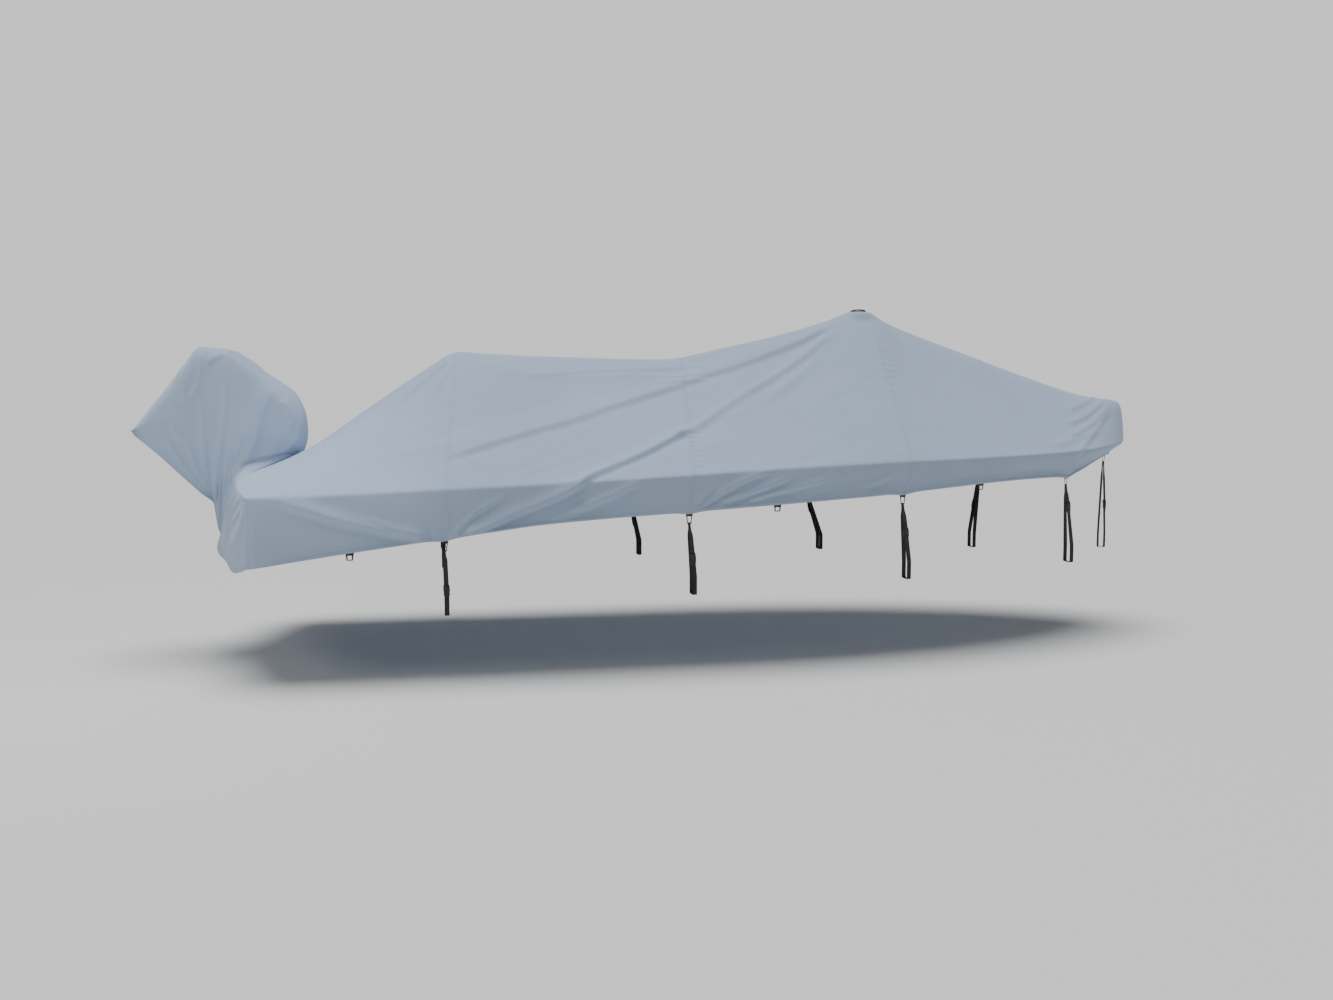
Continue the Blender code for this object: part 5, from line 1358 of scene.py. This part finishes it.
class COVER_OT_tabs(bpy.types.Operator):
    """Sew the webbing tabs behind the hem"""
    bl_idname = "cover.tabs"
    bl_label = "Hem tabs"

    def execute(self, context):
        for name in sorted(n for n in NODES if n.startswith(("tab_", "spare_tab_"))):
            feet = SPARE_TAB_FEET if name.startswith("spare") else STRAP_TAB_FEET
            place = tab_frame(name)
            mesh = tab_mesh(name + "_webbing", *place, *feet)
            piece = put(context, name + "_webbing", mesh, "webbing", name)
        return {"FINISHED"}


class COVER_OT_straps(bpy.types.Operator):
    """Run each tie-down strap from its tab round the trailer's rail and back to its buckle"""
    bl_idname = "cover.straps"
    bl_label = "Tie-down straps"

    def execute(self, context):
        thickness = context.scene.cover_settings.webbing_thickness
        for strap in STRAPS:
            name = "strap_" + strap.name
            path, across, near_tab, _ = strap_path(strap)
            line, share = rounded_path(list(path), STRAP_TURN)
            places = np.arange(len(path))
            across = np.stack([np.interp(share, places, column) for column in across.T], axis=-1)
            gathered = rise(np.interp(share, places, near_tab), 0.2, 0.75)
            widths = STRAP_WIDTH + (STRAP_AT_TAB - STRAP_WIDTH) * gathered
            mesh = webbing_mesh(name, line, across, widths, thickness)
            piece = put(context, name + "_webbing", mesh, "webbing", name)
        return {"FINISHED"}


class COVER_OT_buckles(bpy.types.Operator):
    """Set a side-release buckle on the outer strand of each strap"""
    bl_idname = "cover.buckles"
    bl_label = "Buckles"

    def execute(self, context):
        for strap in STRAPS:
            name = "buckle_" + strap.name
            mesh = buckle_mesh(name, strap_path(strap)[3])
            put(context, name + "_moulding", mesh, "plastic", name)
        return {"FINISHED"}


class COVER_OT_pole_cap(bpy.types.Operator):
    """Set the moulded cap on the peak of the cover, over the support pole"""
    bl_idname = "cover.pole_cap"
    bl_label = "Pole cap"

    def execute(self, context):
        shown = NODES["pole_cap"]
        low = min((shown.matrix_world @ v.co).z for v in shown.data.vertices)
        flat = CAP_RADIUS - CAP_RIM[0]
        profile = []
        for k in range(9):               # the rolled rim
            angle = -math.pi / 2 + math.pi * 0.9 * k / 8
            profile.append((flat + CAP_RIM[0] * math.cos(angle),
                            CAP_RIM[1] + CAP_RIM[1] * math.sin(angle)))
        foot = CAP_RIM[1] * 2
        for k in range(1, 17):           # the dome, with a moulded groove round its crown
            angle = k / 16 * math.pi / 2
            radius = (CAP_RADIUS - DOME_INSET) * math.cos(angle)
            groove = GROOVE_DEPTH * math.exp(-((radius - GROOVE_RADIUS) / GROOVE_WIDTH) ** 2)
            level = foot + (CAP_HEIGHT - foot) * math.sin(angle) ** 0.9
            profile.append((radius, level - groove))
        rings, crown = profile[:-1], profile[-1][1]
        around = np.arange(CAP_SIDES) * 2 * math.pi / CAP_SIDES
        verts = [(radius * math.cos(a), radius * math.sin(a), low + height)
                 for radius, height in rings for a in around]
        verts += [(0.0, 0.0, low), (0.0, 0.0, low + crown)]
        last, count = (len(rings) - 1) * CAP_SIDES, len(verts)
        faces = tube_quads(len(rings), CAP_SIDES)
        for k in range(CAP_SIDES):
            n = (k + 1) % CAP_SIDES
            faces += [(count - 2, n, k), (count - 1, last + k, last + n)]
        mesh = outward_faces(smooth_mesh("pole_cap_moulding", verts, faces))
        put(context, "pole_cap_moulding", mesh, "plastic", "pole_cap")
        return {"FINISHED"}


# ---- The stage, and the add-on ----

class COVER_OT_stage(bpy.types.Operator):
    """Set a plain pale floor, soft light from above and all round, and the camera"""
    bl_idname = "cover.stage"
    bl_label = "Stage"

    def execute(self, context):
        settings = context.scene.stage_settings

        def stand(data, location=(0.0, 0.0, 0.0), rotation=(0.0, 0.0, 0.0)):
            """Stand a floor, a light or a camera in its place."""
            made = bpy.data.objects.new(data.name, data)
            made.location = location
            made.rotation_euler = rotation
            context.scene.collection.objects.link(made)
            return made

        mesh = bpy.data.meshes.new("floor")
        corners = ((-1, -1), (1, -1), (1, 1), (-1, 1))
        mesh.from_pydata([(FLOOR_REACH * x, FLOOR_REACH * y, 0) for x, y in corners], [],
                         [(0, 1, 2, 3)])
        mesh.materials.append(new_material("Pale floor", settings.floor_colour_hex, 0.9)[0])
        stand(mesh, (0.0, 0.0, -POLE_TOP))

        world = bpy.data.worlds.new("Soft room")
        world.use_nodes = True
        tree = world.node_tree
        tree.nodes.clear()
        room = node(tree, "Background", Color=linear("#FFFFFF"), Strength=settings.sky_strength)
        seen = node(tree, "Background", Color=linear(settings.backdrop_colour_hex), Strength=1.0)
        camera_ray = node(tree, "LightPath").outputs["Is Camera Ray"]
        both = node(tree, "MixShader", _0=camera_ray, _1=room.outputs[0], _2=seen.outputs[0])
        node(tree, "OutputWorld", Surface=both.outputs[0])
        context.scene.world = world

        lamp = bpy.data.lights.new("Top light", "SUN")
        lamp.energy = settings.top_light
        lamp.angle = math.radians(SUN_SPREAD)
        stand(lamp, rotation=[math.radians(tilt) for tilt in SUN_TILT])

        panel = bpy.data.lights.new("Stern light", "AREA")   # opens up the hood and the transom
        panel.energy = settings.stern_light
        panel.size = STERN_LIGHT_SIZE
        spot = bpy.data.lights.new("Hood light", "SPOT")     # reaches under the hood's forward side
        spot.energy = settings.hood_light
        spot.spot_size = math.radians(HOOD_LIGHT_CONE)
        spot.spot_blend = 1.0
        spot.shadow_soft_size = HOOD_LIGHT_SIZE
        for lamp, place, aim in ((panel, *STERN_LIGHT_LINE), (spot, *HOOD_LIGHT_LINE)):
            way = Vector(aim) - Vector(place)
            stand(lamp, place, way.to_track_quat("-Z", "Y").to_euler())

        lens = bpy.data.cameras.new("Camera")
        lens.lens = settings.lens
        lens.sensor_width = 36.0
        lens.clip_end = 200.0
        context.scene.camera = stand(lens, CAMERA_PLACE,
                                     (math.radians(90 - CAMERA_DOWN), 0.0,
                                      math.radians(-CAMERA_FORWARD)))
        return {"FINISHED"}


class COVER_PT_panel(bpy.types.Panel):
    """The cover's pieces, in the order they are made"""
    bl_idname = "COVER_PT_panel"
    bl_label = "Boat cover"
    bl_space_type = "VIEW_3D"
    bl_region_type = "UI"
    bl_category = "Cover"

    def draw(self, context):
        for group in (context.scene.cover_settings, context.scene.stage_settings):
            box = self.layout.box()
            for key in group.__annotations__:
                box.prop(group, key)
        for operator in OPERATORS:
            self.layout.operator(operator.bl_idname)


OPERATORS = (COVER_OT_main_panels, COVER_OT_motor_hood, COVER_OT_transom_panel, COVER_OT_tabs,
             COVER_OT_straps, COVER_OT_buckles, COVER_OT_pole_cap, COVER_OT_stage)
CLASSES = (CoverSettings, StageSettings, *OPERATORS, COVER_PT_panel)


def register():
    for cls in CLASSES:
        bpy.utils.register_class(cls)
    bpy.types.Scene.cover_settings = bpy.props.PointerProperty(type=CoverSettings)
    bpy.types.Scene.stage_settings = bpy.props.PointerProperty(type=StageSettings)


def unregister():
    del bpy.types.Scene.stage_settings
    del bpy.types.Scene.cover_settings
    for cls in reversed(CLASSES):
        bpy.utils.unregister_class(cls)


def main():
    register()
    bpy.ops.cover.main_panels()
    bpy.ops.cover.motor_hood()
    bpy.ops.cover.transom_panel()
    bpy.ops.cover.tabs()
    bpy.ops.cover.straps()
    bpy.ops.cover.buckles()
    bpy.ops.cover.pole_cap()
    bpy.ops.cover.stage()


if __name__ == "__main__":
    main()
